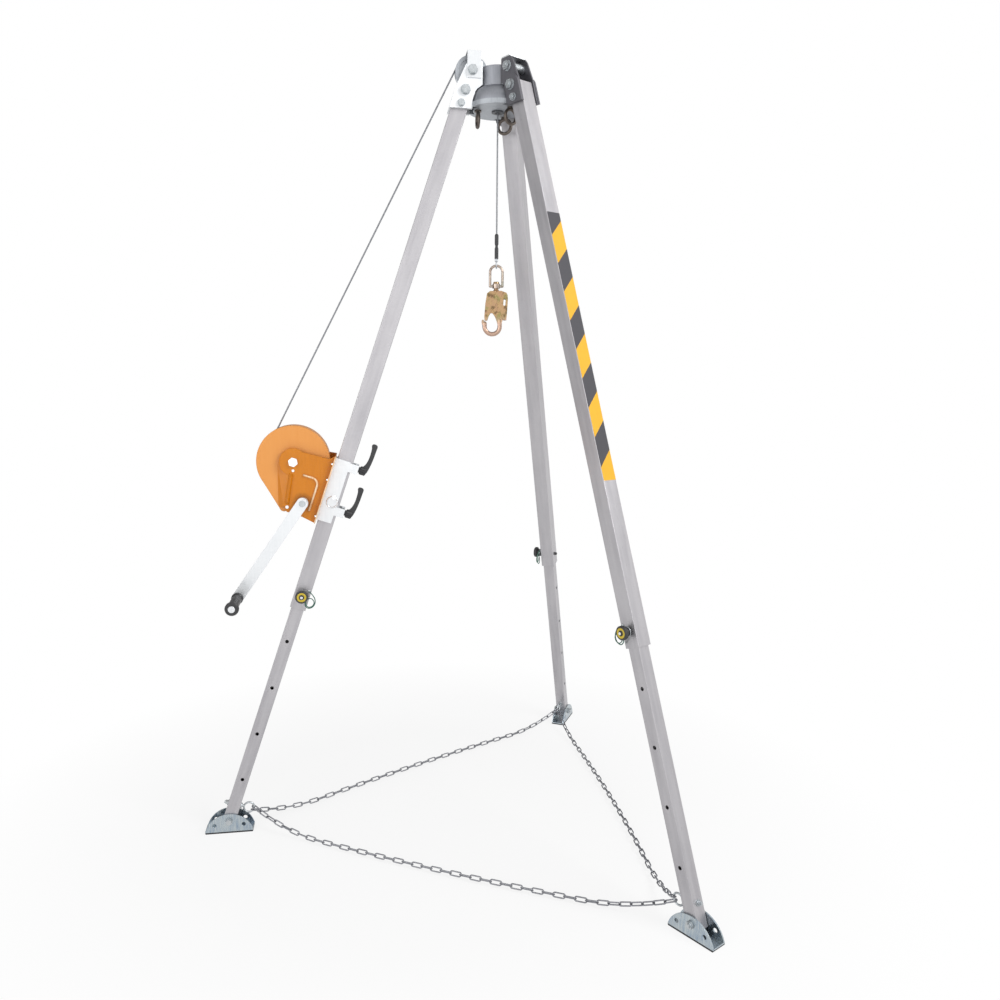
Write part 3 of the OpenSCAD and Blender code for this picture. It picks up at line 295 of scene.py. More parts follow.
def linear(hex_colour):
    """A colour as a painter writes it, in the linear values that a shader uses."""
    parts = [int(hex_colour[i:i + 2], 16) / 255 for i in (1, 3, 5)]
    return tuple(p / 12.92 if p < 0.04045 else ((p + 0.055) / 1.055) ** 2.4 for p in parts) + (1,)


print("piece helpers:", [helper.__name__ for helper in (new_object, piece, linear)])

# %% [markdown]
# ## Shared finishes
# Two effects serve nearly every material. Grain is fine noise that makes a surface's gloss
# and height uneven. Handling is the rubbed and dusty look of a tool in use: a soft mask with
# a few streaks. Both are node groups, so each material sets its own scale and strength.


# %% Node helpers
def group_with(name, inputs, outputs):
    """An empty node group with its named sockets."""
    tree = bpy.data.node_groups.new(name, "ShaderNodeTree")
    for label, kind, value in inputs:
        socket = tree.interface.new_socket(name=label, in_out="INPUT", socket_type=kind)
        if value is not None:
            socket.default_value = value
    for label, kind in outputs:
        tree.interface.new_socket(name=label, in_out="OUTPUT", socket_type=kind)
    return tree, tree.nodes.new("NodeGroupInput"), tree.nodes.new("NodeGroupOutput")


def noise_node(tree, detail, roughness=0.6):
    """A noise, fine or soft."""
    node = tree.nodes.new("ShaderNodeTexNoise")
    node.inputs["Detail"].default_value = detail
    node.inputs["Roughness"].default_value = roughness
    return node


def spread(tree, low, high, to_low, to_high):
    """Takes the values between low and high to another range, and holds them there."""
    node = tree.nodes.new("ShaderNodeMapRange")
    for label, value in (("From Min", low), ("From Max", high), ("To Min", to_low), ("To Max", to_high)):
        node.inputs[label].default_value = value
    return node


print("node helpers:", [helper.__name__ for helper in (group_with, noise_node, spread)])

# %% Grain
grain_tree, grain_in, grain_out = group_with(
    "grain",
    [("Vector", "NodeSocketVector", None), ("Scale", "NodeSocketFloat", 400.0),
     ("Gloss", "NodeSocketFloat", 0.35), ("Uneven", "NodeSocketFloat", 0.1)],
    [("Roughness", "NodeSocketFloat"), ("Height", "NodeSocketFloat")])
fine = noise_node(grain_tree, 4)
link = grain_tree.links.new
link(grain_in.outputs["Vector"], fine.inputs["Vector"])
link(grain_in.outputs["Scale"], fine.inputs["Scale"])
centred = spread(grain_tree, 0.3, 0.7, -1, 1)
link(fine.outputs["Fac"], centred.inputs["Value"])
uneven = grain_tree.nodes.new("ShaderNodeMath")
uneven.operation = "MULTIPLY_ADD"
link(centred.outputs["Result"], uneven.inputs[0])
link(grain_in.outputs["Uneven"], uneven.inputs[1])
link(grain_in.outputs["Gloss"], uneven.inputs[2])
link(uneven.outputs[0], grain_out.inputs["Roughness"])
link(fine.outputs["Fac"], grain_out.inputs["Height"])
print("node group:", grain_tree.name)

# %% Handling
STREAK_STRETCH = (22, 22, 1.6)
handling_tree, handling_in, handling_out = group_with(
    "handling",
    [("Vector", "NodeSocketVector", None), ("Clean", "NodeSocketColor", (0.8, 0.8, 0.8, 1)),
     ("Worn", "NodeSocketColor", (0.5, 0.5, 0.5, 1)), ("Scale", "NodeSocketFloat", 9.0),
     ("Amount", "NodeSocketFloat", 0.35)],
    [("Color", "NodeSocketColor"), ("Mask", "NodeSocketFloat")])
cloud = noise_node(handling_tree, 6, 0.65)
streak = noise_node(handling_tree, 3, 0.5)
link = handling_tree.links.new
link(handling_in.outputs["Vector"], cloud.inputs["Vector"])
link(handling_in.outputs["Scale"], cloud.inputs["Scale"])
long_way = handling_tree.nodes.new("ShaderNodeVectorMath")
long_way.operation = "MULTIPLY"
long_way.inputs[1].default_value = STREAK_STRETCH
link(handling_in.outputs["Vector"], long_way.inputs[0])
link(long_way.outputs["Vector"], streak.inputs["Vector"])
link(handling_in.outputs["Scale"], streak.inputs["Scale"])
both = handling_tree.nodes.new("ShaderNodeMath")
both.operation = "MULTIPLY"
link(cloud.outputs["Fac"], both.inputs[0])
link(streak.outputs["Fac"], both.inputs[1])
shown = spread(handling_tree, 0.16, 0.42, 0, 1)
link(both.outputs[0], shown.inputs["Value"])
weaker = handling_tree.nodes.new("ShaderNodeMath")
weaker.operation = "MULTIPLY"
link(shown.outputs["Result"], weaker.inputs[0])
link(handling_in.outputs["Amount"], weaker.inputs[1])
tint = handling_tree.nodes.new("ShaderNodeMix")
tint.data_type = "RGBA"
link(weaker.outputs[0], tint.inputs["Factor"])
link(handling_in.outputs["Clean"], tint.inputs[6])
link(handling_in.outputs["Worn"], tint.inputs[7])
link(tint.outputs[2], handling_out.inputs["Color"])
link(weaker.outputs[0], handling_out.inputs["Mask"])
print("node group:", handling_tree.name)

# %% [markdown]
# ## One recipe for every finish
# A finish joins both groups to a shader. A bevel in its normals breaks the sharp edges, so a
# corner catches the light as a deburred one does. Where a piece has a second colour, a mask
# lays it over the first: along one axis of the tripod, or round one spot.


# %% Finish helpers
def coated(name, clean, worn, gloss, uneven=0.08, grain=400.0, bump=0.02, metallic=0.0, amount=0.35,
           scale=9.0, turn=(0, 0, 0), stretch=(1, 1, 1), coat=0.0, bump_distance=0.0005, edge=0.0006,
           shine=0.5):
    """A finish with grain and handling. Turn and stretch lay the grain along the piece."""
    material = bpy.data.materials.new(name)
    material.use_nodes = True
    tree = material.node_tree
    shader = tree.nodes["Principled BSDF"]
    shader.inputs["Metallic"].default_value = metallic
    shader.inputs["Specular IOR Level"].default_value = shine
    if coat:
        shader.inputs["Coat Weight"].default_value = coat
        shader.inputs["Coat Roughness"].default_value = 0.12
    place = tree.nodes.new("ShaderNodeTexCoord")
    lay = tree.nodes.new("ShaderNodeMapping")
    lay.vector_type = "TEXTURE"
    lay.inputs["Rotation"].default_value = turn
    stretched = tree.nodes.new("ShaderNodeVectorMath")
    stretched.operation = "MULTIPLY"
    stretched.inputs[1].default_value = stretch
    tree.links.new(place.outputs["Object"], lay.inputs["Vector"])
    tree.links.new(lay.outputs["Vector"], stretched.inputs[0])
    surface = tree.nodes.new("ShaderNodeGroup")
    surface.node_tree = grain_tree
    surface.inputs["Scale"].default_value = grain
    surface.inputs["Gloss"].default_value = gloss
    surface.inputs["Uneven"].default_value = uneven
    tree.links.new(stretched.outputs["Vector"], surface.inputs["Vector"])
    tree.links.new(surface.outputs["Roughness"], shader.inputs["Roughness"])
    used = tree.nodes.new("ShaderNodeGroup")
    used.node_tree = handling_tree
    used.inputs["Clean"].default_value = linear(clean)
    used.inputs["Worn"].default_value = linear(worn)
    used.inputs["Scale"].default_value = scale
    used.inputs["Amount"].default_value = amount
    tree.links.new(lay.outputs["Vector"], used.inputs["Vector"])
    tree.links.new(used.outputs["Color"], shader.inputs["Base Color"])
    raised = tree.nodes.new("ShaderNodeBump")
    raised.inputs["Strength"].default_value = bump
    raised.inputs["Distance"].default_value = bump_distance
    tree.links.new(surface.outputs["Height"], raised.inputs["Height"])
    broken = tree.nodes.new("ShaderNodeBevel")
    broken.samples = 4
    broken.inputs["Radius"].default_value = edge
    tree.links.new(broken.outputs["Normal"], raised.inputs["Normal"])
    tree.links.new(raised.outputs["Normal"], shader.inputs["Normal"])
    return material


def object_place(tree):
    """The coordinates that a finish already reads."""
    return next(n for n in tree.nodes if n.type == "TEX_COORD").outputs["Object"]


def mix_in(material, mask, colour):
    """Lays a second colour over a finish where the mask is 1."""
    tree = material.node_tree
    base = tree.nodes["Principled BSDF"].inputs["Base Color"]
    mixed = tree.nodes.new("ShaderNodeMix")
    mixed.data_type = "RGBA"
    mixed.inputs[7].default_value = linear(colour)
    tree.links.new(mask, mixed.inputs["Factor"])
    tree.links.new(base.links[0].from_socket, mixed.inputs[6])
    tree.links.new(mixed.outputs[2], base)


def beyond(material, axis, start, end, strength=1):
    """A mask that goes from 0 to its strength along one axis of the tripod."""
    tree = material.node_tree
    split = tree.nodes.new("ShaderNodeSeparateXYZ")
    tree.links.new(object_place(tree), split.inputs["Vector"])
    mask = spread(tree, start, end, 0, strength)
    tree.links.new(split.outputs[axis], mask.inputs["Value"])
    return mask.outputs["Result"]


def near(material, spot, inner, outer, strength):
    """A mask that fades from a strength at one place to 0 at the outer distance."""
    tree = material.node_tree
    away = tree.nodes.new("ShaderNodeVectorMath")
    away.operation = "DISTANCE"
    away.inputs[1].default_value = spot
    tree.links.new(object_place(tree), away.inputs[0])
    mask = spread(tree, inner, outer, strength, 0)
    tree.links.new(away.outputs["Value"], mask.inputs["Value"])
    return mask.outputs["Result"]


print("finish helpers:", [helper.__name__ for helper in (coated, object_place, mix_in, beyond, near)])

# %% [markdown]
# ## Aluminium legs
# The tubes are extruded, so die lines run along them, and the anodised skin is satin. Each
# leg leans its own way, so each gets the same finish with the lines turned to its own axis.

# %% Tube finishes
leg_turn = {leg: tuple(leg_matrix(leg).to_euler("XYZ")) for leg in "abc"}
tube = {leg: coated("extruded_aluminium_" + leg, "#B7B5B8", "#949297", 0.37, uneven=0.10, grain=60.0,
                    bump=0.05, metallic=0.75, amount=0.5, scale=3.0, turn=leg_turn[leg], stretch=(14, 14, 0.35))
        for leg in "abc"}
print("tube finishes:", sorted(m.name for m in tube.values()))

# %% [markdown]
# ## Plated and cast metal
# Zinc plating is bright with a faint cool mottle. The cast bell is turned on its outside, so
# its fine lines run round it: the grain is stretched flat for that. Bare steel is darker, and
# oil leaves it brown. All of them are the one recipe with their own colours and gloss.

# %% Metal finishes
zinc = coated("zinc_plate", "#BFC3C5", "#8E969E", 0.30, uneven=0.12, grain=140.0, bump=0.03, metallic=0.92,
              amount=0.55, scale=26.0)
blue_zinc = coated("blue_passivate", "#BCC3C4", "#8496AA", 0.28, uneven=0.12, grain=120.0, bump=0.03, metallic=0.95,
                   amount=0.9, scale=16.0)
bright_zinc = coated("bright_zinc", "#E2E4E6", "#CDD1D5", 0.32, uneven=0.04, grain=60.0, bump=0.004, metallic=0.8,
                     amount=0.35, scale=8.0)
chain_zinc = coated("dull_zinc", "#8E8F94", "#5C5E63", 0.34, uneven=0.1, grain=160.0, bump=0.03, metallic=0.9,
                    amount=0.5, scale=22.0)
cast = coated("turned_casting", "#92949A", "#787B81", 0.44, uneven=0.08, grain=90.0, bump=0.06, metallic=0.82,
              amount=0.4, scale=12.0, stretch=(0.6, 0.6, 16))
cast_base = coated("cast_base", "#A7ABB0", "#7E8287", 0.46, uneven=0.12, grain=260.0, bump=0.12, metallic=0.8,
                   amount=0.5, scale=20.0)
bronze_steel = coated("oiled_forging", "#6A625C", "#463F3A", 0.38, uneven=0.12, grain=300.0, bump=0.06,
                      metallic=0.9, amount=0.6, scale=40.0)
chrome = coated("chrome", "#E6E8EA", "#C4C8CC", 0.12, uneven=0.05, grain=300.0, bump=0.01, metallic=1.0,
                amount=0.3, scale=50.0)
machined = coated("machined_steel", "#8A8E93", "#63676C", 0.33, uneven=0.1, grain=200.0, bump=0.04, metallic=0.95,
                  amount=0.4, scale=24.0)
print("metal finishes:", [m.name for m in (zinc, blue_zinc, bright_zinc, chain_zinc, cast, cast_base,
                                           bronze_steel, chrome, machined)])

# %% [markdown]
# ## Two-coloured metal and painted shade
# The head plates are pale on the winch's side. On the side of the other two legs they are painted
# dark: a painted reflection of the dark surroundings they would mirror. Chromate on the hook
# shifts between gold, pink and green and is burnt brown in places. It could be one noise with
# many colours, but then the bands would lie side by side in a fixed order. So each change is
# its own noise over the plain finish, and the bowl is rubbed pale where loads hang.


# %% Two-coloured finishes
def chromate(name, gold, pink, green, brown, gloss):
    """A gold finish with green and burnt brown bands."""
    material = coated(name, gold, pink, gloss, uneven=0.12, grain=130.0, bump=0.5, metallic=0.95, amount=0.7,
                      scale=55.0, bump_distance=0.0008)
    tree = material.node_tree
    for colour, scale, detail, roughness, start, end, strength in ((green, 45, 3, 0.5, 0.48, 0.66, 0.75),
                                                                   (brown, 78, 2, 0.45, 0.52, 0.68, 0.7)):
        bands = noise_node(tree, detail, roughness)
        bands.inputs["Scale"].default_value = scale
        tree.links.new(object_place(tree), bands.inputs["Vector"])
        tinged = spread(tree, start, end, 0, strength)
        tree.links.new(bands.outputs["Fac"], tinged.inputs["Value"])
        mix_in(material, tinged.outputs["Result"], colour)
    return material


PAINTED_DARK_SIDE = (0.195, 0.200)
RUBBED_BOWL = (1.668, 1.640)
plates = coated("plate_zinc", "#E4E6E8", "#C6CACE", 0.52, uneven=0.05, grain=70.0, bump=0.004, metallic=0.8,
                amount=0.35, scale=9.0)
# Painted reflection: plates past the mask, on the side of legs b and c, are darkened as if they mirrored dark
# surroundings.
mix_in(plates, beyond(plates, "X", *PAINTED_DARK_SIDE), "#69686D")
gold = chromate("yellow_chromate", "#A88B64", "#A07A6C", "#858153", "#4A3828", 0.26)
mix_in(gold, beyond(gold, "Z", *RUBBED_BOWL, 0.75), "#BFA193")
pale_gold = chromate("worn_chromate", "#B4A79A", "#98807A", "#97968A", "#6B5B50", 0.22)
print("two-coloured finishes:", [m.name for m in (plates, gold, pale_gold)])

# %% [markdown]
# ## Paint, plastic and rubber
# The winch is powder coated, which dries with a faint orange peel and a soft gloss. Its frame
# has a ring of painted shadow round the crank's shaft, where hub and crank shade the plate. Knobs,
# levers and the crank's grip are moulded black plastic, and the soles are duller rubber. The
# rope's sleeves are black down to the ferrule, which is bare metal.

# %% Paint and plastic finishes
SHAFT_FACE = on_leg("a", 0.0855, 0.059, 1.0742)
FERRULE_TOP = (1.8445, 1.8435)
orange_cover = coated("powder_coat_cover", "#DF964A", "#D98C3C", 0.38, uneven=0.06, grain=420.0, bump=0.10,
                      amount=0.5, scale=5.0, coat=0.08, edge=0.004, shine=0.4)
orange_frame = coated("powder_coat_frame", "#CD7C14", "#BC6C08", 0.28, uneven=0.06, grain=420.0, bump=0.10,
                      amount=0.5, scale=8.0, coat=0.15, edge=0.002, shine=0.25)
# Painted shadow: a dark ring round the crank's shaft, where hub and crank shade the frame.
mix_in(orange_frame, near(orange_frame, SHAFT_FACE, 0.016, 0.034, 0.7), "#6B3B02")
# Painted highlight: rib and hem take this pale finish for the light that runs along their crests.
crest_highlight = coated("painted_highlight_crest", "#F3DDBB", "#D9892A", 0.26, uneven=0.06, grain=420.0, bump=0.08, amount=0.8,
                scale=14.0, coat=0.2)
black = coated("moulded_black", "#2B2B2D", "#3B3B3E", 0.42, uneven=0.08, grain=900.0, bump=0.12, amount=0.5,
               scale=40.0)
rubber = coated("sole_rubber", "#1E1F21", "#34353A", 0.72, uneven=0.1, grain=700.0, bump=0.2, amount=0.6,
                scale=30.0)
nylon = coated("turned_nylon", "#46484C", "#303236", 0.45, uneven=0.08, grain=500.0, bump=0.06, amount=0.4,
               scale=40.0)
yellow = coated("printed_yellow", "#C8B032", "#AE9824", 0.4, uneven=0.06, grain=700.0, bump=0.03, amount=0.4,
                scale=60.0)
sleeves = coated("sleeves_and_ferrule", "#2A2A2C", "#3B3B3E", 0.4, uneven=0.08, grain=600.0, bump=0.1, amount=0.5,
                 scale=60.0)
ferrule = beyond(sleeves, "Z", *FERRULE_TOP)
mix_in(sleeves, ferrule, "#B9BCC0")
sleeves.node_tree.links.new(ferrule, sleeves.node_tree.nodes["Principled BSDF"].inputs["Metallic"])
print("paint and plastic:", [m.name for m in (orange_cover, orange_frame, black, rubber, yellow)])

# %% [markdown]
# ## Finishes on the solids
# Each solid keeps its shape and gets the finish of the real piece. The rule that picks the
# finish reads the node's name, so the three legs share one list.

# %% Dress the solids
finish_of = {
    "head_bell": cast, "head_base": cast_base, "head_side_plates": plates, "head_hinge_plates": plates,
    "head_bridges": bright_zinc, "hinge_bolts": zinc, "stop_bolts": zinc, "pulley_bolts": zinc,
    "head_eyes": bronze_steel, "rope_bush": nylon, "pulley": cast_base, "winch_bracket": bright_zinc,
    "winch_clamps": zinc, "winch_lever_top": black, "winch_lever_low": black, "winch_lock_pin": chrome,
    "winch_frame": orange_frame, "winch_cover": orange_cover, "winch_bolts": chrome, "winch_drum": machined,
    "winch_gear": machined, "winch_pinion": zinc, "winch_crank": bright_zinc, "winch_grip": black,
    "rope_end": sleeves, "hook_link": pale_gold, "hook_body": gold, "hook_gate": gold, "hook_lock": gold,
}
leg_finish = {"bolts": zinc, "foot": blue_zinc, "sole": rubber, "pin": black, "button": chrome, "chain": chain_zinc}
for leg in "abc":
    finish_of["leg_%s_outer" % leg] = tube[leg]
    finish_of["leg_%s_inner" % leg] = tube[leg]
    for part, finish in leg_finish.items():
        finish_of["leg_%s_%s" % (leg, part)] = finish
for name, finish in finish_of.items():
    mesh = nodes[name].data
    mesh.materials.clear()
    mesh.materials.append(finish)
print("dressed", len(finish_of), "solids")

# %% [markdown]
# ## Wire rope
# The hoist rope is laid from six strands. A flat profile with six lobes is swept along the
# rope's line while it turns, so the strands are real ridges and not a picture of them. The
# rope runs from the drum over the pulley to the bush, and hangs from there to its sleeve.

# %% Rope route
ROPE = 0.005
DRUM = Vector((0.150, 1.185))
DRUM_ROPE = 0.0879
PULLEY = Vector((HINGE_RADIUS - 0.022, HINGE_Z + 0.059))
PULLEY_ROPE = 0.0465
BASE_TOP = HINGE_Z - 0.0335
BASE_LOW = BASE_TOP - 0.014
BUSH_BEND, BUSH_LIP = 0.003, 0.006
SLEEVE_TOP = BASE_LOW - 0.364
IN_SLEEVE = 0.004


def direction(angle):
    """One step that way, in the flat view of a leg."""
    return Vector((math.cos(angle), math.sin(angle)))


beside = Vector((PULLEY.x - HINGE_RADIUS, PULLEY.y - HINGE_Z))
pulley_leg = Vector((beside.x * math.cos(LEAN) + beside.y * math.sin(LEAN),
                     LEG_LENGTH - beside.x * math.sin(LEAN) + beside.y * math.cos(LEAN)))
line = pulley_leg - DRUM
taper = math.asin((DRUM_ROPE - PULLEY_ROPE) / line.length)
rope_turn = math.atan2(line.y, line.x) - math.pi / 2 + taper
rope_start = DRUM + DRUM_ROPE * direction(rope_turn)
rope_stop = pulley_leg + PULLEY_ROPE * direction(rope_turn)
bush_line = Vector((-PULLEY.x, BASE_TOP - PULLEY.y))
wrap_on = rope_turn + LEAN
wrap_off = math.atan2(bush_line.y, bush_line.x) + 2 * math.pi - math.acos(PULLEY_ROPE / bush_line.length)
print("rope from", [round(v, 4) for v in rope_start], "to", [round(v, 4) for v in rope_stop])


# %% Rope helpers
ROPE_STEP = 0.0026
WRAP_STEPS = 40


def even_points(corners, step):
    """Points a step apart along straight stretches between corners."""
    points = [corners[0].copy()]
    for a, b in zip(corners, corners[1:]):
        count = max(1, round((b - a).length / step))
        points += [a.lerp(b, (k + 1) / count) for k in range(count)]
    return points


def strand_profile(radius, lobes):
    """The rope's section: a ring with one bump for each strand."""
    flat = bpy.data.curves.new("profile", "CURVE")
    flat.dimensions = "2D"
    count = lobes * 5
    spline = flat.splines.new("POLY")
    spline.points.add(count - 1)
    for k, point in enumerate(spline.points):
        angle = 2 * math.pi * k / count
        reach = radius * (0.84 + 0.16 * abs(math.cos(lobes * angle / 2)))
        point.co = (reach * math.cos(angle), reach * math.sin(angle), 0, 1)
    spline.use_cyclic_u = True
    return new_object("profile", flat)


def swept(name, points, material, slot, radius, lobes=0, pitch=0.032):
    """A mesh tube along points, round or laid from strands."""
    route = bpy.data.curves.new(name, "CURVE")
    route.dimensions = "3D"
    route.twist_mode = "MINIMUM"
    route.use_fill_caps = True
    spline = route.splines.new("POLY")
    spline.points.add(len(points) - 1)
    run = 0.0
    for k, point in enumerate(points):
        run += (point - points[k - 1]).length if k else 0.0
        spline.points[k].co = (*point, 1)
        spline.points[k].tilt = 2 * math.pi * run / pitch if lobes else 0.0
    section = None
    if lobes:
        section = strand_profile(radius, lobes)
        route.bevel_mode = "OBJECT"
        route.bevel_object = section
    else:
        route.bevel_depth = radius
        route.bevel_resolution = 3
    carrier = new_object(name + "_route", route)
    bpy.context.view_layer.update()
    seen = carrier.evaluated_get(bpy.context.evaluated_depsgraph_get())
    mesh = bpy.data.meshes.new_from_object(seen)
    bpy.data.objects.remove(carrier)
    if section:
        bpy.data.objects.remove(section)
    shape = bmesh.new()
    shape.from_mesh(mesh)
    bpy.data.meshes.remove(mesh)
    bmesh.ops.remove_doubles(shape, verts=shape.verts, dist=1e-6)
    bmesh.ops.recalc_face_normals(shape, faces=shape.faces)
    return piece(name, shape, material, None, slot)


def on_pulley(angle):
    """A place on the rope's circle round the pulley."""
    spot = PULLEY + PULLEY_ROPE * direction(angle)
    return round_head("a", spot.x, 0, spot.y)


def length_of(points):
    """How long a line through points is."""
    return sum((b - a).length for a, b in zip(points, points[1:]))


print("rope helpers:", [helper.__name__ for helper in (even_points, strand_profile, swept, on_pulley, length_of)])

# %% Lay the rope
wire = coated("laid_wire", "#8C8E92", "#5E6064", 0.36, uneven=0.12, grain=900.0, bump=0.1, metallic=0.9, amount=0.6,
              scale=120.0)
run_points = even_points([on_leg("a", rope_start.x, 0, rope_start.y), on_leg("a", rope_stop.x, 0, rope_stop.y)],
                         ROPE_STEP)
rope_run = swept("rope_run_laid", run_points, wire, "rope", ROPE / 2, lobes=6)
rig.replaces(rope_run, "rope_run")
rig.blend(rope_run, "leg_a_upper", "head", start=run_points[-140], end=run_points[-1])

head_points = [on_pulley(wrap_on + (wrap_off - wrap_on) * k / WRAP_STEPS) for k in range(WRAP_STEPS + 1)]
head_points += even_points([head_points[-1], round_head("a", BUSH_BEND, 0, BASE_TOP + BUSH_LIP),
                            round_head("a", 0, 0, BASE_TOP - BUSH_BEND), round_head("a", 0, 0, BASE_LOW)],
                           ROPE_STEP)[1:]
rope_head = swept("rope_head_laid", head_points, wire, "rope", ROPE / 2, lobes=6)
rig.replaces(rope_head, "rope_head")
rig.ride(rope_head, "head")

hang_points = even_points([HEAD_AXIS + Vector((0, 0, BASE_LOW)),
                           HEAD_AXIS + Vector((0, 0, SLEEVE_TOP - IN_SLEEVE))], ROPE_STEP)
rope_hang = swept("rope_hang_laid", hang_points, wire, "rope", ROPE / 2, lobes=6)
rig.replaces(rope_hang, "rope_hang")
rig.blend(rope_hang, "head", "hook_block", start=hang_points[0], end=hang_points[-1])

for thing, points, lay, end, ends in ((rope_run, run_points, "taut", "object", []),
                                      (rope_head, head_points, "taut", "object", []),
                                      (rope_hang, hang_points, "hanging", "fitting", [nodes["rope_end"]])):
    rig.cord(thing, exit=points[0], length=length_of(points), diameter=ROPE, far_end=end, stiffness="stiff", lay=lay,
            path=points, with_pieces=ends)
    print(thing.name, round(length_of(points), 3), "m,", len(thing.data.polygons), "faces")

# %% [markdown]
# ## Lanyards
# Each locking pin is kept from getting lost by a short coated wire, riveted to the tube. It
# hangs beside the knob in a double loop. Its end is an eye round the pin's neck, so the loop
# bends between tube and pin when the pin is pulled.

# %% Lanyard helpers
LANYARD_ROUTE = ((-17, 27, 18), (-20, 31, 17), (-30, 34, 12), (-41, 34, 2), (-46, 34, -12), (-42, 34, -26),
                 (-31, 34, -33), (-20, 34.5, -28), (-16, 35.5, -16), (-21, 37, -4), (-32, 38, 0), (-42, 38.5, -8),
                 (-41, 39, -21), (-31, 39, -28), (-21, 38.5, -24), (-16, 37, -14), (-15, 35.5, -6), (-14.5, 34, 0))
LANYARD = 0.003
NECK = 0.013
EYE_WIRE = 0.0013
EYE_GAP = 0.0004
EYE_AT = 0.034
TUBE_FACE = 0.025
RIVET_AT = (-0.017, 0.018)
RIVET_OUTLINE = ((0, 0.0), (0.0042, 0.0), (0.0045, 0.0008), (0.0036, 0.0022), (0.002, 0.003), (0, 0.0032))


def smooth_line(points, steps):
    """A smooth line through given points."""
    found = []
    for i in range(len(points) - 1):
        a, b, c, d = (points[max(i - 1, 0)], points[i], points[i + 1], points[min(i + 2, len(points) - 1)])
        for k in range(steps):
            t = k / steps
            found.append(0.5 * (2 * b + (c - a) * t + (2 * a - 5 * b + 4 * c - d) * t * t
                                + (3 * b - a - 3 * c + d) * t * t * t))
    return found + [points[-1]]


def ring(shape, major, minor, matrix, steps=36, sides=10):
    """A round ring about z, made by spinning a circle."""
    made = bmesh.ops.create_circle(shape, segments=sides, radius=minor,
                                   matrix=Matrix.Translation((major, 0, 0)) @ Matrix.Rotation(math.pi / 2, 4, "X"))
    edges = list({e for v in made["verts"] for e in v.link_edges})
    bmesh.ops.spin(shape, geom=made["verts"] + edges, cent=(0, 0, 0), axis=(0, 0, 1), angle=2 * math.pi,
                   steps=steps, use_merge=True)
    bmesh.ops.transform(shape, matrix=matrix, verts=[v for v in shape.verts if not v.tag])
    for v in shape.verts:
        v.tag = True


def turned(shape, outline, matrix, steps=32):
    """A turned piece: an outline of radius and height, spun about z."""
    verts = [shape.verts.new((r, 0, z)) for r, z in outline]
    edges = [shape.edges.new(pair) for pair in zip(verts, verts[1:])]
    bmesh.ops.spin(shape, geom=verts + edges, cent=(0, 0, 0), axis=(0, 0, 1), angle=2 * math.pi, steps=steps,
                   use_merge=True)
    new = [v for v in shape.verts if not v.tag]
    bmesh.ops.remove_doubles(shape, verts=new, dist=1e-6)
    new = [v for v in shape.verts if not v.tag]
    bmesh.ops.transform(shape, matrix=matrix, verts=new)
    for v in shape.verts:
        v.tag = True
    bmesh.ops.recalc_face_normals(shape, faces=shape.faces)


def on_pin(leg):
    """The pin's own directions: z runs out of the tube along the pin."""
    lift = Matrix.Translation((0, 0, PIN_AT))
    return leg_matrix(leg) @ lift @ Matrix.Rotation(-math.pi / 2 * PIN_SIDE[leg], 4, "X")


print("lanyard helpers:", [helper.__name__ for helper in (smooth_line, ring, turned, on_pin)])

# %% Lanyards
coated_wire = coated("coated_wire", "#1F5A4A", "#2F7A63", 0.28, uneven=0.05, grain=900.0, bump=0.05, amount=0.5,
                     scale=90.0, coat=0.3)
for leg in "abc":
    side = PIN_SIDE[leg]
    route = [on_leg(leg, n / 1000, side * t / 1000, PIN_AT + u / 1000) for n, t, u in LANYARD_ROUTE]
    points = smooth_line(route, 8)
    lanyard = swept("lanyard_" + leg, points, coated_wire, "lanyard", LANYARD / 2)
    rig.replaces(lanyard, "leg_%s_lanyard" % leg)
    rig.blend(lanyard, "leg_%s_upper" % leg, "leg_%s_pin" % leg, start=points[8], end=points[-1])
    eye = bmesh.new()
    ring(eye, NECK + EYE_GAP + EYE_WIRE, EYE_WIRE, on_pin(leg) @ Matrix.Translation((0, 0, EYE_AT)))
    eye_piece = piece("lanyard_eye_" + leg, eye, zinc, "leg_%s_pin" % leg, "zinc")
    rivet = bmesh.new()
    foot = (leg_matrix(leg) @ Matrix.Translation((RIVET_AT[0], side * TUBE_FACE, PIN_AT + RIVET_AT[1]))
            @ Matrix.Rotation(-math.pi / 2 * side, 4, "X"))
    turned(rivet, RIVET_OUTLINE, foot)
    rivet_piece = piece("lanyard_rivet_" + leg, rivet, zinc, "leg_%s_upper" % leg, "zinc")
    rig.cord(lanyard, exit=points[0], length=length_of(points), diameter=LANYARD, far_end="fitting",
            stiffness="medium", lay="hanging", path=points, with_pieces=[eye_piece, rivet_piece])
    print(lanyard.name, round(length_of(points), 4), "m")

# %% [markdown]
# ## Chain
# The links are already true closed rings in the solids. Here each leg's two half runs become
# pieces of their own, because loose chain gathers at the foot when its leg folds: a half run
# draws in along its own line towards the eye that it hangs in.

# %% Chain runs
EYE_UP, EYE_IN = 0.050, 0.048
EYE_RING = 0.0165
RUN_TURN = math.radians(30)
EYE_REACH = FOOT_REACH - EYE_UP * math.sin(LEAN) - EYE_IN * math.cos(LEAN)
EYE_HEIGHT = PIVOT_HEIGHT + EYE_UP * math.cos(LEAN) - EYE_IN * math.sin(LEAN)


def islands(shape):
    """The loose parts of a mesh."""
    left = set(shape.verts)
    while left:
        stack = [left.pop()]
        part = set(stack)
        while stack:
            for edge in stack.pop().link_edges:
                for other in edge.verts:
                    if other in left:
                        left.discard(other)
                        part.add(other)
                        stack.append(other)
        yield part


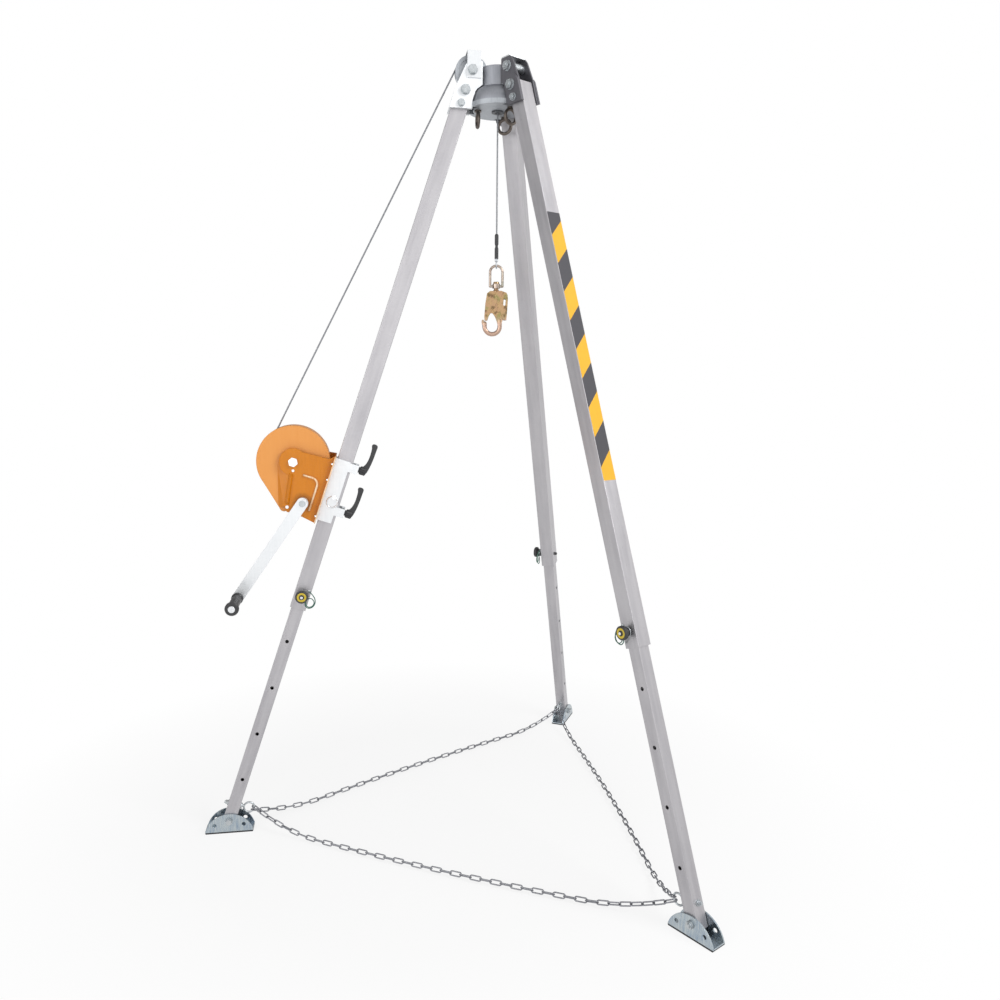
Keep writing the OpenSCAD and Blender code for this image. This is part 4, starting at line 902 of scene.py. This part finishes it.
for leg in "abc":
    across = Matrix.Rotation(AZIMUTH[leg], 4, "Z") @ Vector((0, 1, 0))
    halves = []
    for side, label in ((1, "left"), (-1, "right")):
        run = bmesh.new()
        run.from_mesh(nodes["leg_%s_chain" % leg].data)
        bmesh.ops.remove_doubles(run, verts=run.verts, dist=1e-5)
        other = []
        for part in islands(run):
            middle = sum((v.co for v in part), Vector()) / len(part) - HEAD_AXIS
            if middle.dot(across) * side < 0:
                other += part
        bmesh.ops.delete(run, geom=other, context="VERTS")
        eye_place = round_head(leg, EYE_REACH - EYE_RING, 0, EYE_HEIGHT)
        inward = (Matrix.Rotation(AZIMUTH[leg], 4, "Z")
                  @ Vector((-math.cos(RUN_TURN), side * math.sin(RUN_TURN), 0)))
        half = piece("chain_%s_%s" % (leg, label), run, chain_zinc, "leg_%s_lower" % leg, "zinc")
        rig.squash(half, "leg_%s_fold" % leg, axis=inward, anchor=eye_place, keep=0.07)
        halves.append(half)
    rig.replaces(halves[0], "leg_%s_chain" % leg)
    print("chain", leg, [len(h.data.polygons) for h in halves], "faces")

# %% [markdown]
# ## Hazard tape
# One leg has a strip of black and yellow tape on its outer face. The bands could be painted
# on the tube, but tape has an edge. So the strip is a thin sheet that stands a hair off the
# tube, and its own flat map carries the slanted bands.

# %% Tape finish
TAPE_LOW, TAPE_HIGH = 1.2055, 2.0055
TAPE_WIDTH = 0.0485
TAPE_FACE = 0.0251
TAPE_THICK = 0.0002
BAND = 0.0861
BAND_START = 10.55


def tape_finish():
    """A yellow finish with dark bands, slanted on the strip's own map."""
    material = coated("hazard_tape", "#F0B41F", "#E2A618", 0.33, uneven=0.06, grain=500.0, bump=0.02, amount=0.5,
                      scale=12.0, coat=0.1)
    tree = material.node_tree
    shader = tree.nodes["Principled BSDF"]
    used = next(n for n in tree.nodes if n.type == "GROUP" and n.node_tree == handling_tree)
    flat_map = tree.nodes.new("ShaderNodeUVMap")
    flat_map.uv_map = "UVMap"
    split = tree.nodes.new("ShaderNodeSeparateXYZ")
    tree.links.new(flat_map.outputs["UV"], split.inputs["Vector"])
    slant = tree.nodes.new("ShaderNodeMath")
    slant.operation = "MULTIPLY_ADD"
    slant.inputs[1].default_value = -TAPE_WIDTH / BAND
    tree.links.new(split.outputs["X"], slant.inputs[0])
    along = tree.nodes.new("ShaderNodeMath")
    along.operation = "MULTIPLY"
    along.inputs[1].default_value = (TAPE_HIGH - TAPE_LOW) / BAND
    tree.links.new(split.outputs["Y"], along.inputs[0])
    tree.links.new(along.outputs[0], slant.inputs[2])
    shifted = tree.nodes.new("ShaderNodeMath")
    shifted.operation = "ADD"
    shifted.inputs[1].default_value = BAND_START
    tree.links.new(slant.outputs[0], shifted.inputs[0])
    wave = tree.nodes.new("ShaderNodeMath")
    wave.operation = "MODULO"
    wave.inputs[1].default_value = 2.0
    tree.links.new(shifted.outputs[0], wave.inputs[0])
    dark = spread(tree, 0.995, 1.005, 0, 1)
    tree.links.new(wave.outputs[0], dark.inputs["Value"])
    bands = tree.nodes.new("ShaderNodeMix")
    bands.data_type = "RGBA"
    bands.inputs[7].default_value = linear("#3F3E44")
    tree.links.new(dark.outputs["Result"], bands.inputs["Factor"])
    tree.links.new(used.outputs["Color"], bands.inputs[6])
    tree.links.new(bands.outputs[2], shader.inputs["Base Color"])
    return material


print("tape bands", BAND, "m wide")

# %% Tape strip
strip = bmesh.new()
strip.loops.layers.uv.new("UVMap")
bmesh.ops.create_grid(strip, x_segments=2, y_segments=24, size=0.5, calc_uvs=True)
bmesh.ops.scale(strip, vec=(TAPE_WIDTH, TAPE_HIGH - TAPE_LOW, 1), verts=strip.verts)
to_face = (leg_matrix("b") @ Matrix.Translation((TAPE_FACE, 0, (TAPE_LOW + TAPE_HIGH) / 2))
           @ Matrix(((0, 0, 1, 0), (1, 0, 0, 0), (0, 1, 0, 0), (0, 0, 0, 1))))
bmesh.ops.transform(strip, matrix=to_face, verts=strip.verts)
bmesh.ops.solidify(strip, geom=strip.faces[:], thickness=-TAPE_THICK)
piece("hazard_tape", strip, tape_finish(), "leg_b_upper", "black", smooth=False)
print("tape", round(TAPE_HIGH - TAPE_LOW, 3), "m long")

# %% [markdown]
# ## Winch pressings
# The winch's front plate is pressed from sheet, which gets its stiffness from a round-topped rib
# beside the shaft and from a ridge between the axle and the lowest bolt. A press makes both in
# one stroke, and the flange's free edge is rolled to a hem. Here rib and hem are swept along
# their lines, the rib sunk to its middle in the flat rib of the solid. The ridge is a triangle
# that is extruded, drawn in at its ends and bevelled. Rib and hem are painted pale: a painted
# highlight along their crests.

# %% Rib and hem
FRONT_PLATE = 0.059
RIB_FACE = FRONT_PLATE + 0.0025
RIB_BEND = Vector((0.080, 1.1362))
RIB_RADIUS = 0.0205
RIB_ROUND = 0.0032
HEM_PLACE = (0.0325, 0.0755)
HEM_ENDS = (1.0265, 1.2425)
HEM_ROUND = 0.0021

rib_line = [RIB_BEND + Vector((0.029, RIB_RADIUS))]
rib_line += [RIB_BEND + RIB_RADIUS * direction(math.radians(90 + 7.5 * k)) for k in range(13)]
rib_line += [RIB_BEND + Vector((-RIB_RADIUS, -0.080))]
rib = swept("winch_rib", [on_leg("a", spot.x, RIB_FACE, spot.y) for spot in rib_line], crest_highlight, "orange_frame",
            RIB_ROUND)
hem = swept("winch_hem", [on_leg("a", *HEM_PLACE, up) for up in HEM_ENDS], crest_highlight, "orange_frame", HEM_ROUND)
for pressing in (rib, hem):
    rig.ride(pressing, "leg_a_upper")
print("winch rib", len(rib.data.polygons), "faces, hem", len(hem.data.polygons), "faces")

# %% Ridge
RIDGE_SECTION = ((0.1512, FRONT_PLATE), (0.1430, FRONT_PLATE + 0.0085), (0.1380, FRONT_PLATE))
RIDGE_HIGH, RIDGE_LOW = 1.149, 1.056
RIDGE_LEAN = -0.0155
CREST_LEFT = (0.84, 1, 0.84)
CREST_ROUND = 0.0016
ridge = bmesh.new()
end = ridge.faces.new([ridge.verts.new((x, y, RIDGE_HIGH)) for x, y in RIDGE_SECTION])
drawn = bmesh.ops.extrude_face_region(ridge, geom=[end])["geom"]
bmesh.ops.translate(ridge, vec=(RIDGE_LEAN, 0, RIDGE_LOW - RIDGE_HIGH),
                    verts=[v for v in drawn if isinstance(v, bmesh.types.BMVert)])
crest = [v for v in ridge.verts if v.co.y > FRONT_PLATE + 0.001]
bmesh.ops.scale(ridge, vec=CREST_LEFT, verts=crest,
                space=Matrix.Translation(-sum((v.co for v in crest), Vector()) / 2))
bmesh.ops.recalc_face_normals(ridge, faces=ridge.faces)
bmesh.ops.bevel(ridge, geom=[e for e in ridge.edges if all(v in crest for v in e.verts)],
                offset=CREST_ROUND, offset_type="OFFSET", affect="EDGES", segments=4, profile=0.5, material=-1)
bmesh.ops.transform(ridge, matrix=leg_matrix("a"), verts=ridge.verts)
piece("winch_ridge", ridge, orange_frame, "leg_a_upper", "orange_frame", smooth=False)
print("winch ridge from", RIDGE_LOW, "to", RIDGE_HIGH, "m up the leg")

# %% [markdown]
# ## Knob discs
# Under each pin's button lies a yellow printed disc in the knob's recess. It could be a ring
# of colour in the knob's finish, but spun from an outline it has a rounded edge of its own.

# %% Discs
DISC_OUTLINE = ((0.0082, 0.0566), (0.0144, 0.0566), (0.0147, 0.0569), (0.0147, 0.0575), (0.0142, 0.0579),
                (0.0086, 0.0579), (0.0082, 0.0575), (0.0082, 0.0566))
for leg in "abc":
    disc = bmesh.new()
    turned(disc, DISC_OUTLINE, on_pin(leg), steps=40)
    piece("knob_disc_" + leg, disc, yellow, "leg_%s_pin" % leg, "black")
print("knob discs: 3")

# %% [markdown]
# ## Stage and light
# A white sweep and soft light, like a catalogue picture. The floor takes a faint shadow near
# the tripod and is plain white farther off. The key light is on the right, where the bell and
# the legs of the photograph are brightest. Metal shows what surrounds it, so what it mirrors
# is white in front and to the right and grey behind: that sets a leg's two faces apart.

# %% Floor
FLOOR_SIZE = 14
FLOOR_DROP = 0.0002
sweep = bmesh.new()
bmesh.ops.create_grid(sweep, x_segments=1, y_segments=1, size=FLOOR_SIZE)
floor_mesh = bpy.data.meshes.new("floor")
sweep.to_mesh(floor_mesh)
sweep.free()
floor = new_object("floor", floor_mesh)
floor.location.z = -FLOOR_DROP
paper = bpy.data.materials.new("paper")
paper.use_nodes = True
paper_shader = paper.node_tree.nodes["Principled BSDF"]
paper_shader.inputs["Base Color"].default_value = (0.94, 0.94, 0.94, 1)
paper_shader.inputs["Roughness"].default_value = 0.6
paper_shader.inputs["Specular IOR Level"].default_value = 0.2
far = paper.node_tree.nodes.new("ShaderNodeEmission")
far.inputs["Color"].default_value = (1, 1, 1, 1)
far_off = paper.node_tree.nodes.new("ShaderNodeMixShader")
spot = paper.node_tree.nodes.new("ShaderNodeTexCoord")
reach = paper.node_tree.nodes.new("ShaderNodeVectorMath")
reach.operation = "LENGTH"
fade = spread(paper.node_tree, 0.7, 1.6, 0.8, 1)
paper.node_tree.links.new(spot.outputs["Object"], reach.inputs[0])
paper.node_tree.links.new(reach.outputs["Value"], fade.inputs["Value"])
paper.node_tree.links.new(fade.outputs["Result"], far_off.inputs["Fac"])
paper.node_tree.links.new(paper_shader.outputs["BSDF"], far_off.inputs[1])
paper.node_tree.links.new(far.outputs["Emission"], far_off.inputs[2])
paper.node_tree.links.new(far_off.outputs["Shader"], paper.node_tree.nodes["Material Output"].inputs["Surface"])
floor_mesh.materials.append(paper)
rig.stage(floor)
print("floor", 2 * FLOOR_SIZE, "m wide")

# %% Surroundings
world = bpy.data.worlds.new("studio")
bpy.context.scene.world = world
world.use_nodes = True
sky = world.node_tree
background = sky.nodes["Background"]
background.inputs["Color"].default_value = (1, 1, 1, 1)
background.inputs["Strength"].default_value = 0.42
white = sky.nodes.new("ShaderNodeBackground")
white.inputs["Color"].default_value = (1, 1, 1, 1)
white.inputs["Strength"].default_value = 1.0
rays = sky.nodes.new("ShaderNodeLightPath")
pick = sky.nodes.new("ShaderNodeMixShader")
way = sky.nodes.new("ShaderNodeTexCoord")
way_parts = sky.nodes.new("ShaderNodeSeparateXYZ")
sky.links.new(way.outputs["Generated"], way_parts.inputs["Vector"])
right = spread(sky, 0, 1, 0, 1)
front = spread(sky, -0.15, 0.4, 1, 0)
sky.links.new(way_parts.outputs["X"], right.inputs["Value"])


def combined(a, b, operation="ADD"):
    """Two masks of the surroundings in one."""
    node = sky.nodes.new("ShaderNodeMath")
    node.operation = operation
    node.use_clamp = True
    sky.links.new(a, node.inputs[0])
    sky.links.new(b, node.inputs[1])
    return node.outputs[0]


behind = sky.nodes.new("ShaderNodeMath")
behind.operation = "SUBTRACT"
sky.links.new(way_parts.outputs["Y"], behind.inputs[0])
sky.links.new(right.outputs["Result"], behind.inputs[1])
sky.links.new(behind.outputs[0], front.inputs["Value"])
in_metal = combined(rays.outputs["Is Glossy Ray"], front.outputs["Result"], "MULTIPLY")
seen_white = combined(combined(rays.outputs["Is Camera Ray"], rays.outputs["Is Transmission Ray"]), in_metal)
sky.links.new(seen_white, pick.inputs["Fac"])
sky.links.new(background.outputs["Background"], pick.inputs[1])
sky.links.new(white.outputs["Background"], pick.inputs[2])
sky.links.new(pick.outputs["Shader"], sky.nodes["World Output"].inputs["Surface"])
print("surroundings:", world.name)


# %% Lights
def soft_light(name, place, target, size, power):
    """A square lamp that looks at a place."""
    lamp = bpy.data.lights.new(name, "AREA")
    lamp.shape = "SQUARE"
    lamp.size = size
    lamp.energy = power
    thing = bpy.data.objects.new(name, lamp)
    bpy.context.scene.collection.objects.link(thing)
    aim = (Vector(target) - Vector(place)).to_track_quat("-Z", "Y").to_matrix().to_4x4()
    thing.matrix_world = Matrix.Translation(place) @ aim


soft_light("key", (3.0, -2.8, 3.8), (0.2, 0, 1.1), 2.2, 118)
soft_light("fill", (-3.0, -2.4, 2.2), (0.2, 0, 1.0), 2.6, 42)
soft_light("front", (-0.8, -5.4, 2.0), (0.2, 0, 1.2), 3.6, 24)
bpy.context.scene.view_settings.view_transform = "Standard"
print("lights:", [lamp.name for lamp in bpy.data.lights])

# %% [markdown]
# ## Hand over
# The box of the dressed tripod is written next to the box of the bare solids, so that the
# two can be compared after each render.

# %% Finish
seen_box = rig.bounds()
with open("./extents.json", "w") as out:
    json.dump({"cad": [list(v) for v in cad_box], "visual": [list(v) for v in seen_box]}, out)
print("box", [[round(c, 3) for c in v] for v in seen_box])
